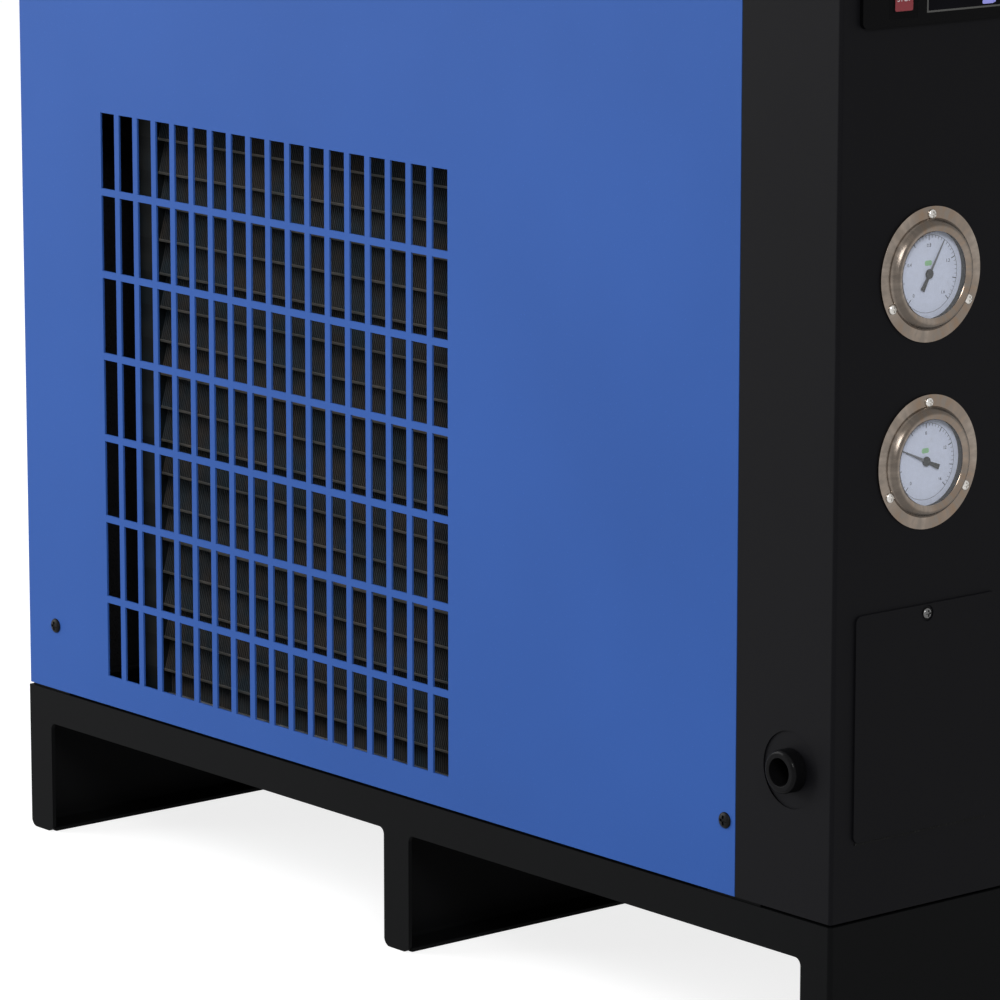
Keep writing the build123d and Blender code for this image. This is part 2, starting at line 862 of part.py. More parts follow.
def condenser_coil():
    """Finned coil: the stepped fin face, the end plates with their flanges, and the return bends."""
    outline = [(coil_back_x, coil_bottom), (coil_back_x, coil_top), (coil_x + fin_wave, coil_top)]
    for row in reversed(range(coil_rows)):
        lip_z = coil_bottom + row * row_pitch + fin_lip_offset
        outline.append((coil_x, lip_z))
        outline.append((coil_x + fin_wave, lip_z - fin_lip))
    outline.append((coil_x + fin_wave, coil_bottom))
    side = Plane(origin=(0, coil_front, 0), x_dir=(1, 0, 0), z_dir=(0, -1, 0))
    coil = extrude(side * Polygon(*outline, align=None), amount=-coil_length)
    plate_x = (coil_x - end_plate_margin, shroud_x)
    flange_x = (coil_x - end_plate_margin, coil_x - end_plate_margin + end_plate)
    levels = (coil_bottom, coil_top)
    coil += block(plate_x, (coil_front - end_plate, coil_front), levels)
    coil += block(plate_x, (coil_rear, coil_rear + end_plate), levels)
    coil += block(flange_x, (coil_front - end_plate - end_flange, coil_front - end_plate), levels)
    coil += block(flange_x, (coil_rear + end_plate, coil_rear + end_plate + end_flange), levels)
    for row in range(0, coil_rows, 2):
        coil += return_bend(row, coil_rear + end_plate, 1)
    for row in range(1, coil_rows - 1, 2):
        coil += return_bend(row, coil_front - end_plate, -1)
    for row in (0, coil_rows - 1):
        coil += rod((coil_tube_x, coil_front - end_plate, row_z(row)), (0, -1, 0), coil_stub, tube_radius)
    return coil


def condenser_rail():
    """Channel on the deck that carries the coil and the fan shroud."""
    rail_x = (coil_x - end_plate_margin, shroud_back_x)
    rail_y = (coil_front - end_plate, coil_rear + end_plate)
    rail = block(rail_x, rail_y, (base_height, coil_bottom))
    inside_x = (rail_x[0] + end_plate, rail_x[1] - end_plate)
    return rail - block(inside_x, rail_y, (base_height, coil_bottom - end_plate))


def fan_shroud():
    """Box behind the coil with a ring round the fan and a flange over the coil's top."""
    box_y = (coil_front - end_plate, coil_rear + end_plate)
    top = coil_top + end_plate
    shroud = block((shroud_x, shroud_back_x), box_y, (coil_bottom, top))
    shroud -= block(
        (shroud_x, shroud_back_x - end_plate),
        (coil_front, coil_rear),
        (coil_bottom + end_plate, coil_top),
    )
    shroud += block((coil_x - end_plate_margin, shroud_x), box_y, (coil_top, top))
    plate_centre = (shroud_back_x - end_plate, fan_y, fan_z)
    shroud += rod(plate_centre, (1, 0, 0), fan_ring_length, fan_ring_radius + end_plate)
    return shroud - rod(plate_centre, (1, 0, 0), fan_ring_length, fan_ring_radius)


def blade_section(radius, chord, angle):
    """Flat blade section at one radius, turned to its pitch."""
    turn = math.radians(angle)
    across = (math.sin(turn), 0, math.cos(turn))
    return Plane(origin=(0, radius, 0), x_dir=across, z_dir=(0, 1, 0)) * Rectangle(chord, blade)


def fan_rotor():
    """Fan wheel: a hub with twisted blades that widen towards the tip."""
    root = blade_section(hub_radius - overshoot, blade_root_chord, blade_root_angle)
    tip = blade_section(fan_radius + blade_overrun, blade_tip_chord, blade_tip_angle)
    one_blade = loft([root, tip], ruled=True)
    swept_disc = rod((-hub_length, 0, 0), (1, 0, 0), 2 * hub_length, fan_radius)
    one_blade = one_blade & swept_disc
    wheel = rod((-hub_length / 2, 0, 0), (1, 0, 0), hub_length, hub_radius)
    for step in range(blade_count):
        wheel += Rot(360 / blade_count * step, 0, 0) * one_blade
    wheel = Pos(fan_x, fan_y, fan_z) * wheel
    bore_radius = fan_shaft_radius + running_gap
    return wheel - rod((shaft_start, fan_y, fan_z), (1, 0, 0), hub_bore_depth, bore_radius)


def fan_shaft():
    """Motor shaft that carries the fan wheel."""
    return rod((shaft_start, fan_y, fan_z), (1, 0, 0), shaft_end - shaft_start, fan_shaft_radius)


def fan_motor():
    """Closed fan motor behind its bracket, bored for the shaft."""
    front = (motor_x, fan_y, fan_z)
    body = rod(front, (1, 0, 0), motor_length, motor_radius)
    body += rod((motor_x + motor_length, fan_y, fan_z), (1, 0, 0), motor_cap, motor_cap_radius)
    return body - rod(front, (1, 0, 0), motor_bore, fan_shaft_radius + running_gap)


def motor_bracket():
    """Four arms that hold the motor in front of the shroud's ring."""
    reach = fan_ring_radius + end_plate + bracket_ring_gap + bracket
    arm = block((bracket_x, bracket_x + bracket), (0, reach), (-bracket_arm / 2, bracket_arm / 2))
    leg = block((shroud_back_x, bracket_x), (reach - bracket, reach), (-bracket_arm / 2, bracket_arm / 2))
    spider = rod((bracket_x, 0, 0), (1, 0, 0), bracket, motor_radius)
    for step in range(bracket_arms):
        turn = 360 / bracket_arms * (step + 0.5)
        spider += Rot(turn, 0, 0) * (arm + leg)
    spider -= rod((bracket_x, 0, 0), (1, 0, 0), bracket, bracket_hole)
    return Pos(0, fan_y, fan_z) * spider


# Refrigerant circuit

def domed_vessel(radius, bottom, tall, dome):
    """Upright vessel with rounded ends, about its own axis."""
    body = rod((0, 0, bottom), (0, 0, 1), tall, radius)
    return fillet(body.edges().filter_by(GeomType.CIRCLE), dome)


def compressor():
    """Hermetic compressor shell with its weld ring, foot plate and two ports."""
    shell = domed_vessel(compressor_radius, compressor_bottom, compressor_height, compressor_dome)
    middle = compressor_bottom + compressor_height / 2
    shell += rod((0, 0, middle), (0, 0, 1), weld_ring_height, compressor_radius + weld_ring)
    half = foot_plate_width / 2
    plate = block((-half, half), (-half, half), (foot_plate_z, foot_plate_z + foot_plate))
    shell += fillet(plate.edges().filter_by(Axis.Z), foot_plate_round)
    port_start = compressor_top - compressor_dome
    length = port_top - port_start
    shell += rod((-port_spacing / 2, 0, port_start), (0, 0, 1), length, discharge_radius)
    shell += rod((port_spacing / 2, 0, port_start), (0, 0, 1), length, suction_radius)
    return Pos(compressor_x, compressor_y, 0) * shell


def compressor_mounts():
    """Rubber mounts between the deck and the compressor's foot plate."""
    half = foot_spacing / 2
    places = [(compressor_x + x, compressor_y + y) for x in (-half, half) for y in (-half, half)]
    mounts = [rod((x, y, base_height), (0, 0, 1), mount_height, mount_radius) for x, y in places]
    return Compound(children=mounts)


def compressor_terminal_cover():
    """Moulded cover over the compressor's terminals, on the front of the shell."""
    back = compressor_y - compressor_radius - weld_ring - seat_gap
    half = terminal_cover_width / 2
    cover = block(
        (compressor_x - half, compressor_x + half),
        (back - terminal_cover_depth, back),
        (terminal_cover_z, terminal_cover_z + terminal_cover_height),
    )
    return fillet(cover.edges().filter_by(Axis.Z), terminal_cover_round)


def filter_drier():
    """Filter drier on the liquid line, with cone ends and its outlet on the heat exchanger."""
    start = exchanger_y - drier_outlet - drier_length
    body = rod((drier_x, start, drier_z), (0, 1, 0), drier_length, drier_radius)
    body = chamfer(body.edges().filter_by(GeomType.CIRCLE), drier_cone)
    body += rod((drier_x, start, drier_z), (0, -1, 0), drier_inlet, liquid_radius)
    return body + rod((drier_x, start + drier_length, drier_z), (0, 1, 0), drier_outlet, liquid_radius)


def discharge_line():
    """Hot-gas line from the compressor over to the top row of the coil."""
    start_x = compressor_x - port_spacing / 2
    points = [
        (start_x, compressor_y, port_top),
        (start_x, compressor_y, discharge_top),
        (coil_tube_x, discharge_drop_y, discharge_top),
        (coil_tube_x, discharge_drop_y, row_z(coil_rows - 1)),
        (coil_tube_x, coil_stub_y, row_z(coil_rows - 1)),
    ]
    return bent_tube(points, line_bend, discharge_radius)


def liquid_line():
    """Liquid line from the bottom row of the coil to the filter drier."""
    end_y = exchanger_y - drier_outlet - drier_length - drier_inlet
    low_z = row_z(0)
    points = [
        (coil_tube_x, coil_stub_y, low_z),
        (coil_tube_x, liquid_run_y, low_z),
        (liquid_run_x, liquid_run_y, low_z),
        (liquid_run_x, liquid_run_y, drier_z),
        (drier_x, liquid_run_y, drier_z),
        (drier_x, end_y, drier_z),
    ]
    return bent_tube(points, line_bend, liquid_radius)


def suction_line():
    """Suction line from the heat exchanger back to the compressor."""
    line_x = compressor_x + port_spacing / 2
    points = [
        (line_x, exchanger_y, suction_z),
        (line_x, compressor_y, suction_z),
        (line_x, compressor_y, port_top),
    ]
    return bent_tube(points, suction_bend, suction_radius)


# Air side

def heat_exchanger():
    """Insulated heat-exchanger block."""
    body = block(
        (exchanger_x, exchanger_x + exchanger_width),
        (exchanger_y, exchanger_rear),
        (exchanger_z, exchanger_top),
    )
    return fillet(body.edges().filter_by(Axis.Z), exchanger_round)


def heat_exchanger_stand():
    """Folded stand that lifts the heat exchanger above the deck."""
    span_x = (exchanger_x, exchanger_x + exchanger_width)
    stand_body = block(span_x, (exchanger_y, exchanger_rear), (base_height, exchanger_z))
    inner_y = (exchanger_y + stand, exchanger_rear - stand)
    stand_body -= block(span_x, inner_y, (base_height + stand, exchanger_z - stand))
    slot_y = (exchanger_y + stand_foot, exchanger_rear - stand_foot)
    return stand_body - block(span_x, slot_y, (base_height, base_height + stand))


def water_separator():
    """Upright separator vessel, welded to the heat exchanger by two ports, with a nipple below."""
    vessel = domed_vessel(separator_radius, separator_bottom, separator_height, separator_dome)
    vessel = Pos(separator_x, separator_y, 0) * vessel
    for rise in (separator_port_low, separator_port_high):
        start = (separator_x, separator_y, separator_bottom + rise)
        vessel += rod(start, (1, 0, 0), exchanger_x - separator_x, separator_port_radius)
    nipple_length = separator_nipple + separator_dome
    nipple_start = (separator_x, separator_y, valve_top)
    return vessel + rod(nipple_start, (0, 0, 1), nipple_length, separator_nipple_radius)


def drain_valve():
    """Ball valve below the separator, with a boss for the handle's stem."""
    body = rod((separator_x, separator_y, valve_bottom), (0, 0, 1), valve_height, valve_radius)
    body += rod((separator_x, separator_y, valve_z), (0, -1, 0), valve_boss_reach, valve_boss_radius)
    bore_start = (separator_x, valve_face_y, valve_z)
    return body - rod(bore_start, (0, 1, 0), valve_stem_length + seat_gap, valve_stem_radius + running_gap)


def drain_valve_lever():
    """Short butterfly handle and stem of the drain valve, in the open position."""
    back = valve_face_y - seat_gap
    grip = block(
        (separator_x - handle_width / 2, separator_x + handle_width / 2),
        (back - handle_thickness, back),
        (valve_z - handle_length / 2, valve_z + handle_length / 2),
    )
    grip = fillet(grip.edges().filter_by(Axis.Y), handle_round)
    return grip + rod((separator_x, back, valve_z), (0, 1, 0), valve_stem_length, valve_stem_radius)


def auto_drain():
    """Float drain bowl that hangs below the valve."""
    bowl = rod((separator_x, separator_y, bowl_bottom), (0, 0, 1), drain_bowl_height, drain_bowl_radius)
    bowl = fillet(bowl.edges().filter_by(GeomType.CIRCLE), drain_bowl_round)
    return bowl + rod((separator_x, separator_y, bowl_top), (0, 0, 1), drain_neck, separator_nipple_radius)


def drain_pipe():
    """Drain pipe from the bowl out through the rear panel, with its collar outside."""
    points = [
        (separator_x, separator_y, bowl_bottom),
        (separator_x, separator_y, drain_z),
        (separator_x, depth + drain_pipe_proud, drain_z),
    ]
    collar = rod((separator_x, depth, drain_z), (0, 1, 0), drain_collar, drain_collar_radius)
    return bent_tube(points, drain_pipe_bend, drain_pipe_radius) + collar


def air_pipe(x):
    """Threaded air connection from the heat exchanger out through the rear panel."""
    start = (x, exchanger_rear, air_pipe_z)
    length = depth + air_pipe_proud - exchanger_rear
    pipe = rod(start, (0, 1, 0), length, air_pipe_radius)
    pipe += rod((x, depth, air_pipe_z), (0, 1, 0), air_pipe_shoulder, air_pipe_shoulder_radius)
    return pipe - rod(start, (0, 1, 0), length, air_pipe_bore)


# Electrical gear

def mounting_plate():
    """Plate across the front posts that carries the electrical gear."""
    inner = sheet + post_sheet
    plate_y = (front_post_end, front_post_end + sheet)
    return block((inner, width - inner), plate_y, (plate_bottom, plate_top))


def contactor():
    """Contactor with a raised middle."""
    right = contactor_x + contactor_width
    top = contactor_z + contactor_height
    back = front_post_end
    base_y = (back - contactor_depth + contactor_step, back)
    body = block((contactor_x, right), base_y, (contactor_z, top))
    raised_z = (contactor_z + contactor_step, top - contactor_step)
    return body + block((contactor_x, right), (back - contactor_depth, back), raised_z)


def terminal_block():
    """Row of supply terminals, each with its own well."""
    right = terminals_x + terminal_count * terminal_pitch + terminal_wall
    top = terminals_z + terminals_height
    front = front_post_end - terminals_depth
    body = block((terminals_x, right), (front, front_post_end), (terminals_z, top))
    for step in range(terminal_count):
        left = terminals_x + terminal_wall + step * terminal_pitch
        well_x = (left, left + terminal_pitch - terminal_wall)
        body -= block(well_x, (front, front + terminal_well), (terminals_z + terminal_wall, top - terminal_wall))
    return body


def pieces():
    """Every piece of the dryer by name, in the corner frame."""
    left_side, left_panel = base_side(), side_panel()
    left_front_post, left_rear_post = front_post(), rear_post()
    named = {
        "base_front": base_front(),
        "base_side_left": left_side,
        "base_side_right": mirrored(left_side),
        "base_channel_middle": base_channel(middle_foot_y),
        "base_channel_rear": base_channel(depth - foot_depth),
        "base_deck": base_deck(),
        "post_front_left": left_front_post,
        "post_front_right": mirrored(left_front_post),
        "post_rear_left": left_rear_post,
        "post_rear_right": mirrored(left_rear_post),
        "side_panel_left": left_panel,
        "side_panel_right": mirrored(left_panel),
        "rear_panel": rear_panel(),
        "front_cover": front_cover(),
        "top_cover": top_cover(),
        "panel_screws": panel_screws(),
        "access_cover": access_cover(),
        "access_cover_screw": access_cover_screw(),
        "control_panel": control_panel(),
        "keypad": keypad(),
        "display_window": display_window(),
        "gauge_screws": gauge_screws(),
        "cable_gland": cable_gland(),
        "cable_gland_nut": cable_gland_nut(),
        "condenser_coil": condenser_coil(),
        "condenser_rail": condenser_rail(),
        "fan_shroud": fan_shroud(),
        "fan_rotor": fan_rotor(),
        "fan_shaft": fan_shaft(),
        "fan_motor": fan_motor(),
        "motor_bracket": motor_bracket(),
        "compressor": compressor(),
        "compressor_mounts": compressor_mounts(),
        "compressor_terminal_cover": compressor_terminal_cover(),
        "filter_drier": filter_drier(),
        "discharge_line": discharge_line(),
        "liquid_line": liquid_line(),
        "suction_line": suction_line(),
        "heat_exchanger": heat_exchanger(),
        "heat_exchanger_stand": heat_exchanger_stand(),
        "water_separator": water_separator(),
        "drain_valve": drain_valve(),
        "drain_valve_lever": drain_valve_lever(),
        "auto_drain": auto_drain(),
        "drain_pipe": drain_pipe(),
        "air_inlet_pipe": air_pipe(air_inlet_x),
        "air_outlet_pipe": air_pipe(air_outlet_x),
        "mounting_plate": mounting_plate(),
        "contactor": contactor(),
        "terminal_block": terminal_block(),
    }
    gauges = (("upper", gauge_upper_z, pointer_upper_angle), ("lower", gauge_lower_z, pointer_lower_angle))
    for place, centre_z, angle in gauges:
        named[f"{place}_gauge_case"] = gauge_case(centre_z)
        named[f"{place}_gauge_bezel"] = gauge_bezel(centre_z)
        named[f"{place}_gauge_glass"] = gauge_glass(centre_z)
        named[f"{place}_gauge_dial"] = gauge_dial(centre_z)
        named[f"{place}_gauge_pointer"] = gauge_pointer(centre_z, angle)
    return named


def main():
    os.makedirs("parts", exist_ok=True)
    to_origin = Pos(-origin_x, -origin_y, 0)
    for name, shape in pieces().items():
        export_step(to_origin * shape, f"parts/{name}.step")


if __name__ == "__main__":
    main()
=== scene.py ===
import bmesh
import bpy
import json
import math
from bpy.props import FloatProperty, FloatVectorProperty, IntProperty, PointerProperty
from mathutils import Matrix, Vector


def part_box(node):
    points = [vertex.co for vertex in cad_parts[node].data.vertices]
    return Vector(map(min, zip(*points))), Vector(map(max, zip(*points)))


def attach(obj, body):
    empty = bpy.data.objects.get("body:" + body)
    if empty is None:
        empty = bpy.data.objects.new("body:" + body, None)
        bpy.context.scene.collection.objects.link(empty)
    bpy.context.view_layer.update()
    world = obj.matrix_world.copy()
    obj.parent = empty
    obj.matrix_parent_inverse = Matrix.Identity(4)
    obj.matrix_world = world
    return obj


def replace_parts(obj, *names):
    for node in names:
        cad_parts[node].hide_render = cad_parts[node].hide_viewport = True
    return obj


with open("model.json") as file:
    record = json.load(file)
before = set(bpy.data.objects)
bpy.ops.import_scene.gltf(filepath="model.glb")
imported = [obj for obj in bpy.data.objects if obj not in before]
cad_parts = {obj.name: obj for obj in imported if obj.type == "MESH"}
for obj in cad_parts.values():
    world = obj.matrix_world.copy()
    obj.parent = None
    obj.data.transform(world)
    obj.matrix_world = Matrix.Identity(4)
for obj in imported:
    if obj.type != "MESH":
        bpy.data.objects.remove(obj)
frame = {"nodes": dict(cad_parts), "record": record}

bl_info = {
    "name": "Refrigerated air dryer",
    "version": (1, 0, 0),
    "blender": (4, 5, 0),
    "location": "3D View > Sidebar > Dryer",
    "description": "Dresses the packed air dryer with finishes and small parts in a plain studio",
    "category": "Object",
}

MM = 0.001
RECORD = frame["record"]
SLOT_OF = {part["node"]: part["material_slot"] for part in RECORD["subparts"]}
COLOUR_OF = {entry["slot"]: entry["base_color"][:3] for entry in RECORD["materials"]}
BODY_OF = {node: body for body, nodes in RECORD["behaviour"]["bodies"].items() for node in nodes}
WHITE = (1.0, 1.0, 1.0)

# Thickness of printed ink
INK = 0.08 * MM

# The condenser's tube rows, and the height of a row's sharp edge above the row's start
CONDENSER_ROWS = 18
ROW_EDGE = 18.7 * MM


# Sizes and colours that a user would change

def colour(name, description, default):
    """A colour property."""
    return FloatVectorProperty(name=name, description=description, default=default, subtype="COLOR", size=3)


def length(name, description, default):
    """A length property, given in millimetres."""
    return FloatProperty(name=name, description=description, default=default * MM, unit="LENGTH")


def whole_number(name, description, default):
    """A whole-number property."""
    return IntProperty(name=name, description=description, default=default)


class DryerColours(bpy.types.PropertyGroup):
    """Paint and print colours of the dryer."""

    blue: colour("Side panels", "Powder coat of the side panels, lid and rear", (0.031, 0.0965, 0.353))
    black: colour("Front cover", "Powder coat of the front and access covers", (0.0047, 0.0047, 0.0057))
    base: colour("Base", "Powder coat of the base", (0.004, 0.0042, 0.0045))
    stainless: colour("Gauge metal", "Pressed stainless steel of the gauges", (0.235, 0.2, 0.17))
    dial: colour("Dial", "Plate behind the gauge glass", (0.62, 0.67, 0.82))
    dial_mark: colour("Dial mark", "Plain mark above the hub", (0.26, 0.5, 0.27))
    stop_key: colour("Stop key", "Face of the stop key", (0.21, 0.026, 0.034))
    start_key: colour("Start key", "Face of the start key", (0.02, 0.13, 0.045))
    readout: colour("Readout", "Lit segments of the display", (0.2, 0.2, 0.52))


class DryerSizes(bpy.types.PropertyGroup):
    """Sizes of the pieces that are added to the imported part."""

    sheet_round: length("Sheet edge", "Rounding of a painted sheet edge", 0.3)
    base_round: length("Base edge", "Rounding of the base plates' edges", 0.6)
    moulded_round: length("Moulded edge", "Rounding of moulded edges", 0.6)
    small_round: length("Fine edge", "Rounding of small metal edges", 0.2)
    fin_pitch: length("Fin pitch", "Distance between condenser fins", 2.1)
    fin_sheet: length("Fin thickness", "Thickness of a condenser fin", 0.25)
    fin_proud: length("Fin edge", "How far the fins stand out of the fin block", 0.9)
    thread_pitch: length("Thread pitch", "Pitch of the air connections' threads", 2.309)
    thread_depth: length("Thread depth", "Depth of the air connections' threads", 1.3)
    major_ticks: whole_number("Dial divisions", "Main divisions of a gauge scale", 8)
    minor_ticks: whole_number("Small divisions", "Small divisions in one main division", 5)


# Node trees

class Value:
    """One output of a node; arithmetic on it adds Math nodes."""

    def __init__(self, tree, socket):
        self.tree = tree
        self.socket = socket

    def math(self, operation, *values):
        """One Math node on this value and others."""
        return self.tree.node("ShaderNodeMath", {"operation": operation}, dict(enumerate(values)))

    def __add__(self, other):
        return self.math("ADD", self, other)

    def __sub__(self, other):
        return self.math("SUBTRACT", self, other)

    def __rsub__(self, other):
        return self.math("SUBTRACT", other, self)

    def __mul__(self, other):
        return self.math("MULTIPLY", self, other)

    def __truediv__(self, other):
        return self.math("DIVIDE", self, other)

    def __rtruediv__(self, other):
        return self.math("DIVIDE", other, self)

    __radd__ = __add__
    __rmul__ = __mul__

    def fraction(self):
        return self.math("FRACT", self)

    def at_most(self, limit):
        return self.math("MINIMUM", self, limit)


class Tree:
    """A node tree with one way to add a node."""

    def __init__(self, node_tree):
        self.node_tree = node_tree

    def node(self, kind, settings=None, sockets=None, output=0):
        """Adds a node: its settings first, then the values or links of its sockets."""
        made = self.node_tree.nodes.new(kind)
        for name, setting in (settings or {}).items():
            if name == "stops":
                self.set_stops(made.color_ramp, setting)
            else:
                setattr(made, name, setting)
        for key, value in (sockets or {}).items():
            self.feed(made.inputs[key], value)
        return Value(self, made.outputs[output])

    def feed(self, socket, value):
        """Links a value to a socket, or writes the number or colour there."""
        if isinstance(value, Value):
            self.node_tree.links.new(value.socket, socket)
        elif socket.type == "RGBA":
            socket.default_value = (*value[:3], 1.0)
        else:
            socket.default_value = value

    def set_stops(self, ramp, stops):
        """Colours along a ramp."""
        while len(ramp.elements) < len(stops):
            ramp.elements.new(1.0)
        for element, (place, shade) in zip(ramp.elements, stops):
            element.position = place
            element.color = (shade, shade, shade, 1.0)


class Finish(Tree):
    """One material of the dryer, on object coordinates."""

    def __init__(self, name, **numbers):
        self.material = bpy.data.materials.new(name)
        self.material.use_nodes = True
        super().__init__(self.material.node_tree)
        self.shader = self.node_tree.nodes["Principled BSDF"]
        for name, number in numbers.items():
            self.shader.inputs[name.replace("_", " ").title().replace("Ior", "IOR")].default_value = number
        self.coordinates = self.node("ShaderNodeTexCoord", output="Object")

    def set(self, **values):
        """Feeds the shader's inputs, named in small letters."""
        for name, value in values.items():
            self.feed(self.shader.inputs[name.replace("_", " ").title()], value)

    def stretched(self, stretch):
        """Object coordinates stretched along the axes."""
        return self.node("ShaderNodeMapping", None, {"Vector": self.coordinates, "Scale": stretch})

    def height(self):
        """Height above the floor in metres."""
        return self.node("ShaderNodeSeparateXYZ", None, {0: self.coordinates}, output=2)

    def noise(self, scale, detail=2.0, stretch=None):
        """Soft noise; scale is in cells per metre."""
        place = self.stretched(stretch) if stretch else self.coordinates
        return self.node("ShaderNodeTexNoise", None, {"Vector": place, "Scale": scale, "Detail": detail})

    def cells(self, scale):
        """Distance to scattered points; scale is in cells per metre."""
        return self.node("ShaderNodeTexVoronoi", None, {"Vector": self.coordinates, "Scale": scale})

    def ramp(self, value, low, high):
        """0 below one value and 1 above another."""
        return self.node("ShaderNodeValToRGB", {"stops": [(low, 0.0), (high, 1.0)]}, {"Fac": value})

    def blend(self, share, first, second):
        """Mixes two colours."""
        return self.node("ShaderNodeMix", {"data_type": "RGBA"}, {0: share, 6: first, 7: second}, output=2)

    def mottled(self, pattern, base, low, high):
        """A colour that is darker or lighter with a pattern, between two factors."""
        return self.blend(pattern, shade(base, low), shade(base, high))

    def surface(self, colour, roughness, height, relief, **others):
        """Sets colour, roughness and small relief, its height in metres, and returns the material."""
        bump = self.node("ShaderNodeBump", None, {"Height": height, "Distance": relief, "Strength": 1.0})
        self.set(base_color=colour, roughness=roughness, normal=bump, **others)
        return self.material


def shade(base, factor):
    """A lighter or darker colour."""
    return tuple(min(1.0, part * factor) for part in base)


# Finishes, one function for each kind

def powder_coat(name, base, roughness, grain, relief, specular):
    """Baked powder coat: orange peel, faint clouds of colour and rubbed patches."""
    finish = Finish(name, specular_ior_level=specular)
    clouds = finish.mottled(finish.ramp(finish.noise(3.5, 3.0), 0.35, 0.68), base, 0.95, 1.05)
    peel = finish.noise(grain, 3.0)
    specks = finish.ramp(finish.cells(grain * 0.35), 0.02, 0.12)
    tone = finish.blend(specks, shade(base, 1.25), clouds)
    return finish.surface(tone, roughness + 0.06 * finish.noise(22.0, 3.0) + 0.05 * peel, peel, relief)


def moulded(name, base, roughness, grain=900.0, relief=0.00006, specular=0.4):
    """Moulded plastic or rubber with spark-eroded grain."""
    finish = Finish(name, specular_ior_level=specular)
    tone = finish.mottled(finish.noise(14.0, 2.0), base, 0.9, 1.12)
    return finish.surface(tone, roughness + 0.08 * finish.noise(60.0, 3.0), finish.cells(grain), relief)


def glossy_nylon(name, base):
    """Black nylon with a thin gloss skin that catches small highlights."""
    finish = Finish(name, specular_ior_level=0.02, coat_roughness=0.08)
    flow = finish.noise(90.0, 3.0, (3.0, 1.0, 1.0))
    tone = finish.mottled(flow, base, 0.85, 1.2)
    return finish.surface(tone, 0.5 + 0.1 * flow, flow, 0.00003, coat_weight=0.06 + 0.04 * flow)


def bare_metal(name, base, roughness, stretch=(1.0, 1.0, 7.0), relief=0.00002):
    """Drawn, turned or pressed metal with fine directional scratches."""
    finish = Finish(name, metallic=1.0)
    drawn = finish.noise(260.0, 5.0, stretch)
    stain = finish.ramp(finish.noise(28.0, 4.0), 0.4, 0.75)
    tone = finish.mottled(stain, base, 1.0, 0.78)
    return finish.surface(tone, roughness + 0.12 * drawn + 0.06 * stain, drawn, relief)


def spun_metal(name, base, roughness):
    """Pressed bright metal: fine streaks outwards, broad tarnish, and painted shade in a dark ring over the
    bezel's outer slope.
    """
    finish = Finish(name, metallic=1.0)
    around = finish.node("ShaderNodeAttribute", {"attribute_name": "around"}, output="Vector")
    place = finish.node("ShaderNodeMapping", None, {"Vector": around, "Scale": (1.0, 1.0, 12.0)})
    outward = finish.node("ShaderNodeSeparateXYZ", None, {0: around}, output="Z") / (50.0 * MM)
    # Painted shade: a dark ring 30 to 35 mm out from the middle, over the bezel's outer slope, which is also
    # made rougher
    ring_shade = finish.ramp(outward, 0.6, 0.63) * (1 - finish.ramp(outward, 0.68, 0.705))
    broad = finish.ramp(finish.node("ShaderNodeTexNoise", None, {"Vector": place, "Scale": 1.3}), 0.4, 0.62)
    fine = finish.node("ShaderNodeTexNoise", None, {"Vector": place, "Scale": 9.0, "Detail": 3.0})
    warm = finish.blend(broad, shade(base, 1.2), (base[0] * 0.88, base[1] * 0.74, base[2] * 0.62))
    streaked = finish.blend(finish.ramp(fine, 0.35, 0.7), shade(base, 0.8), warm)
    tone = finish.blend(ring_shade * 0.62, streaked, shade(base, 0.2))
    return finish.surface(tone, roughness + 0.1 * fine + 0.08 * ring_shade, fine, 0.00002)


def spangled(name, base):
    """Hot-dip galvanised sheet with its spangle."""
    finish = Finish(name, metallic=0.85)
    sockets = {"Vector": finish.coordinates, "Scale": 90.0}
    crystals = finish.node("ShaderNodeTexVoronoi", None, sockets, output="Color")
    facet = finish.node("ShaderNodeSeparateColor", None, {0: crystals})
    return finish.surface(finish.mottled(facet, base, 0.75, 1.15), 0.34 + 0.18 * facet, facet, 0.00002)


def foam(name, base):
    """Closed-cell foam skin, with painted shade darkening its pores."""
    finish = Finish(name, specular_ior_level=0.2)
    pores = finish.ramp(finish.cells(420.0), 0.1, 0.5)
    # Painted shade: the pores are darker, down to half the base colour
    return finish.surface(finish.mottled(pores, base, 0.5, 1.2), 0.82 + 0.1 * pores, pores, 0.0003)


def cast_metal(name, base):
    """Sand-cast and blasted metal."""
    finish = Finish(name, metallic=0.9)
    sand = finish.noise(700.0, 4.0)
    tone = finish.mottled(finish.noise(30.0, 3.0), base, 0.85, 1.1)
    return finish.surface(tone, 0.5 + 0.15 * sand, sand, 0.00012)


def clear_glass(name, base):
    """Thin flat window glass with a trace of dust."""
    finish = Finish(name, roughness=0.03, specular_ior_level=0.5)
    dust = finish.ramp(finish.noise(160.0, 4.0), 0.55, 0.8)
    finish.set(base_color=finish.mottled(dust, base, 1.0, 0.8), alpha=0.05 + 0.04 * dust)
    return finish.material


def smoked_window(name, base):
    """Dark gloss window over the display."""
    finish = Finish(name, specular_ior_level=0.02)
    smears = finish.noise(35.0, 3.0)
    finish.set(base_color=finish.mottled(smears, base, 0.12, 0.22), roughness=0.12 + 0.12 * smears)
    return finish.material


def printed(name, base, roughness=0.55):
    """Screen-printed ink with a slightly uneven edge of coverage."""
    finish = Finish(name, specular_ior_level=0.3)
    cover = finish.noise(500.0, 3.0)
    return finish.surface(finish.mottled(cover, base, 0.9, 1.06), roughness + 0.1 * cover, cover, 0.00001)


def lit(name, base):
    """Lit segments behind the window."""
    finish = Finish(name, emission_strength=1.0)
    glow = finish.mottled(finish.noise(300.0, 2.0), base, 0.85, 1.1)
    finish.set(base_color=shade(base, 0.3), emission_color=glow)
    return finish.material


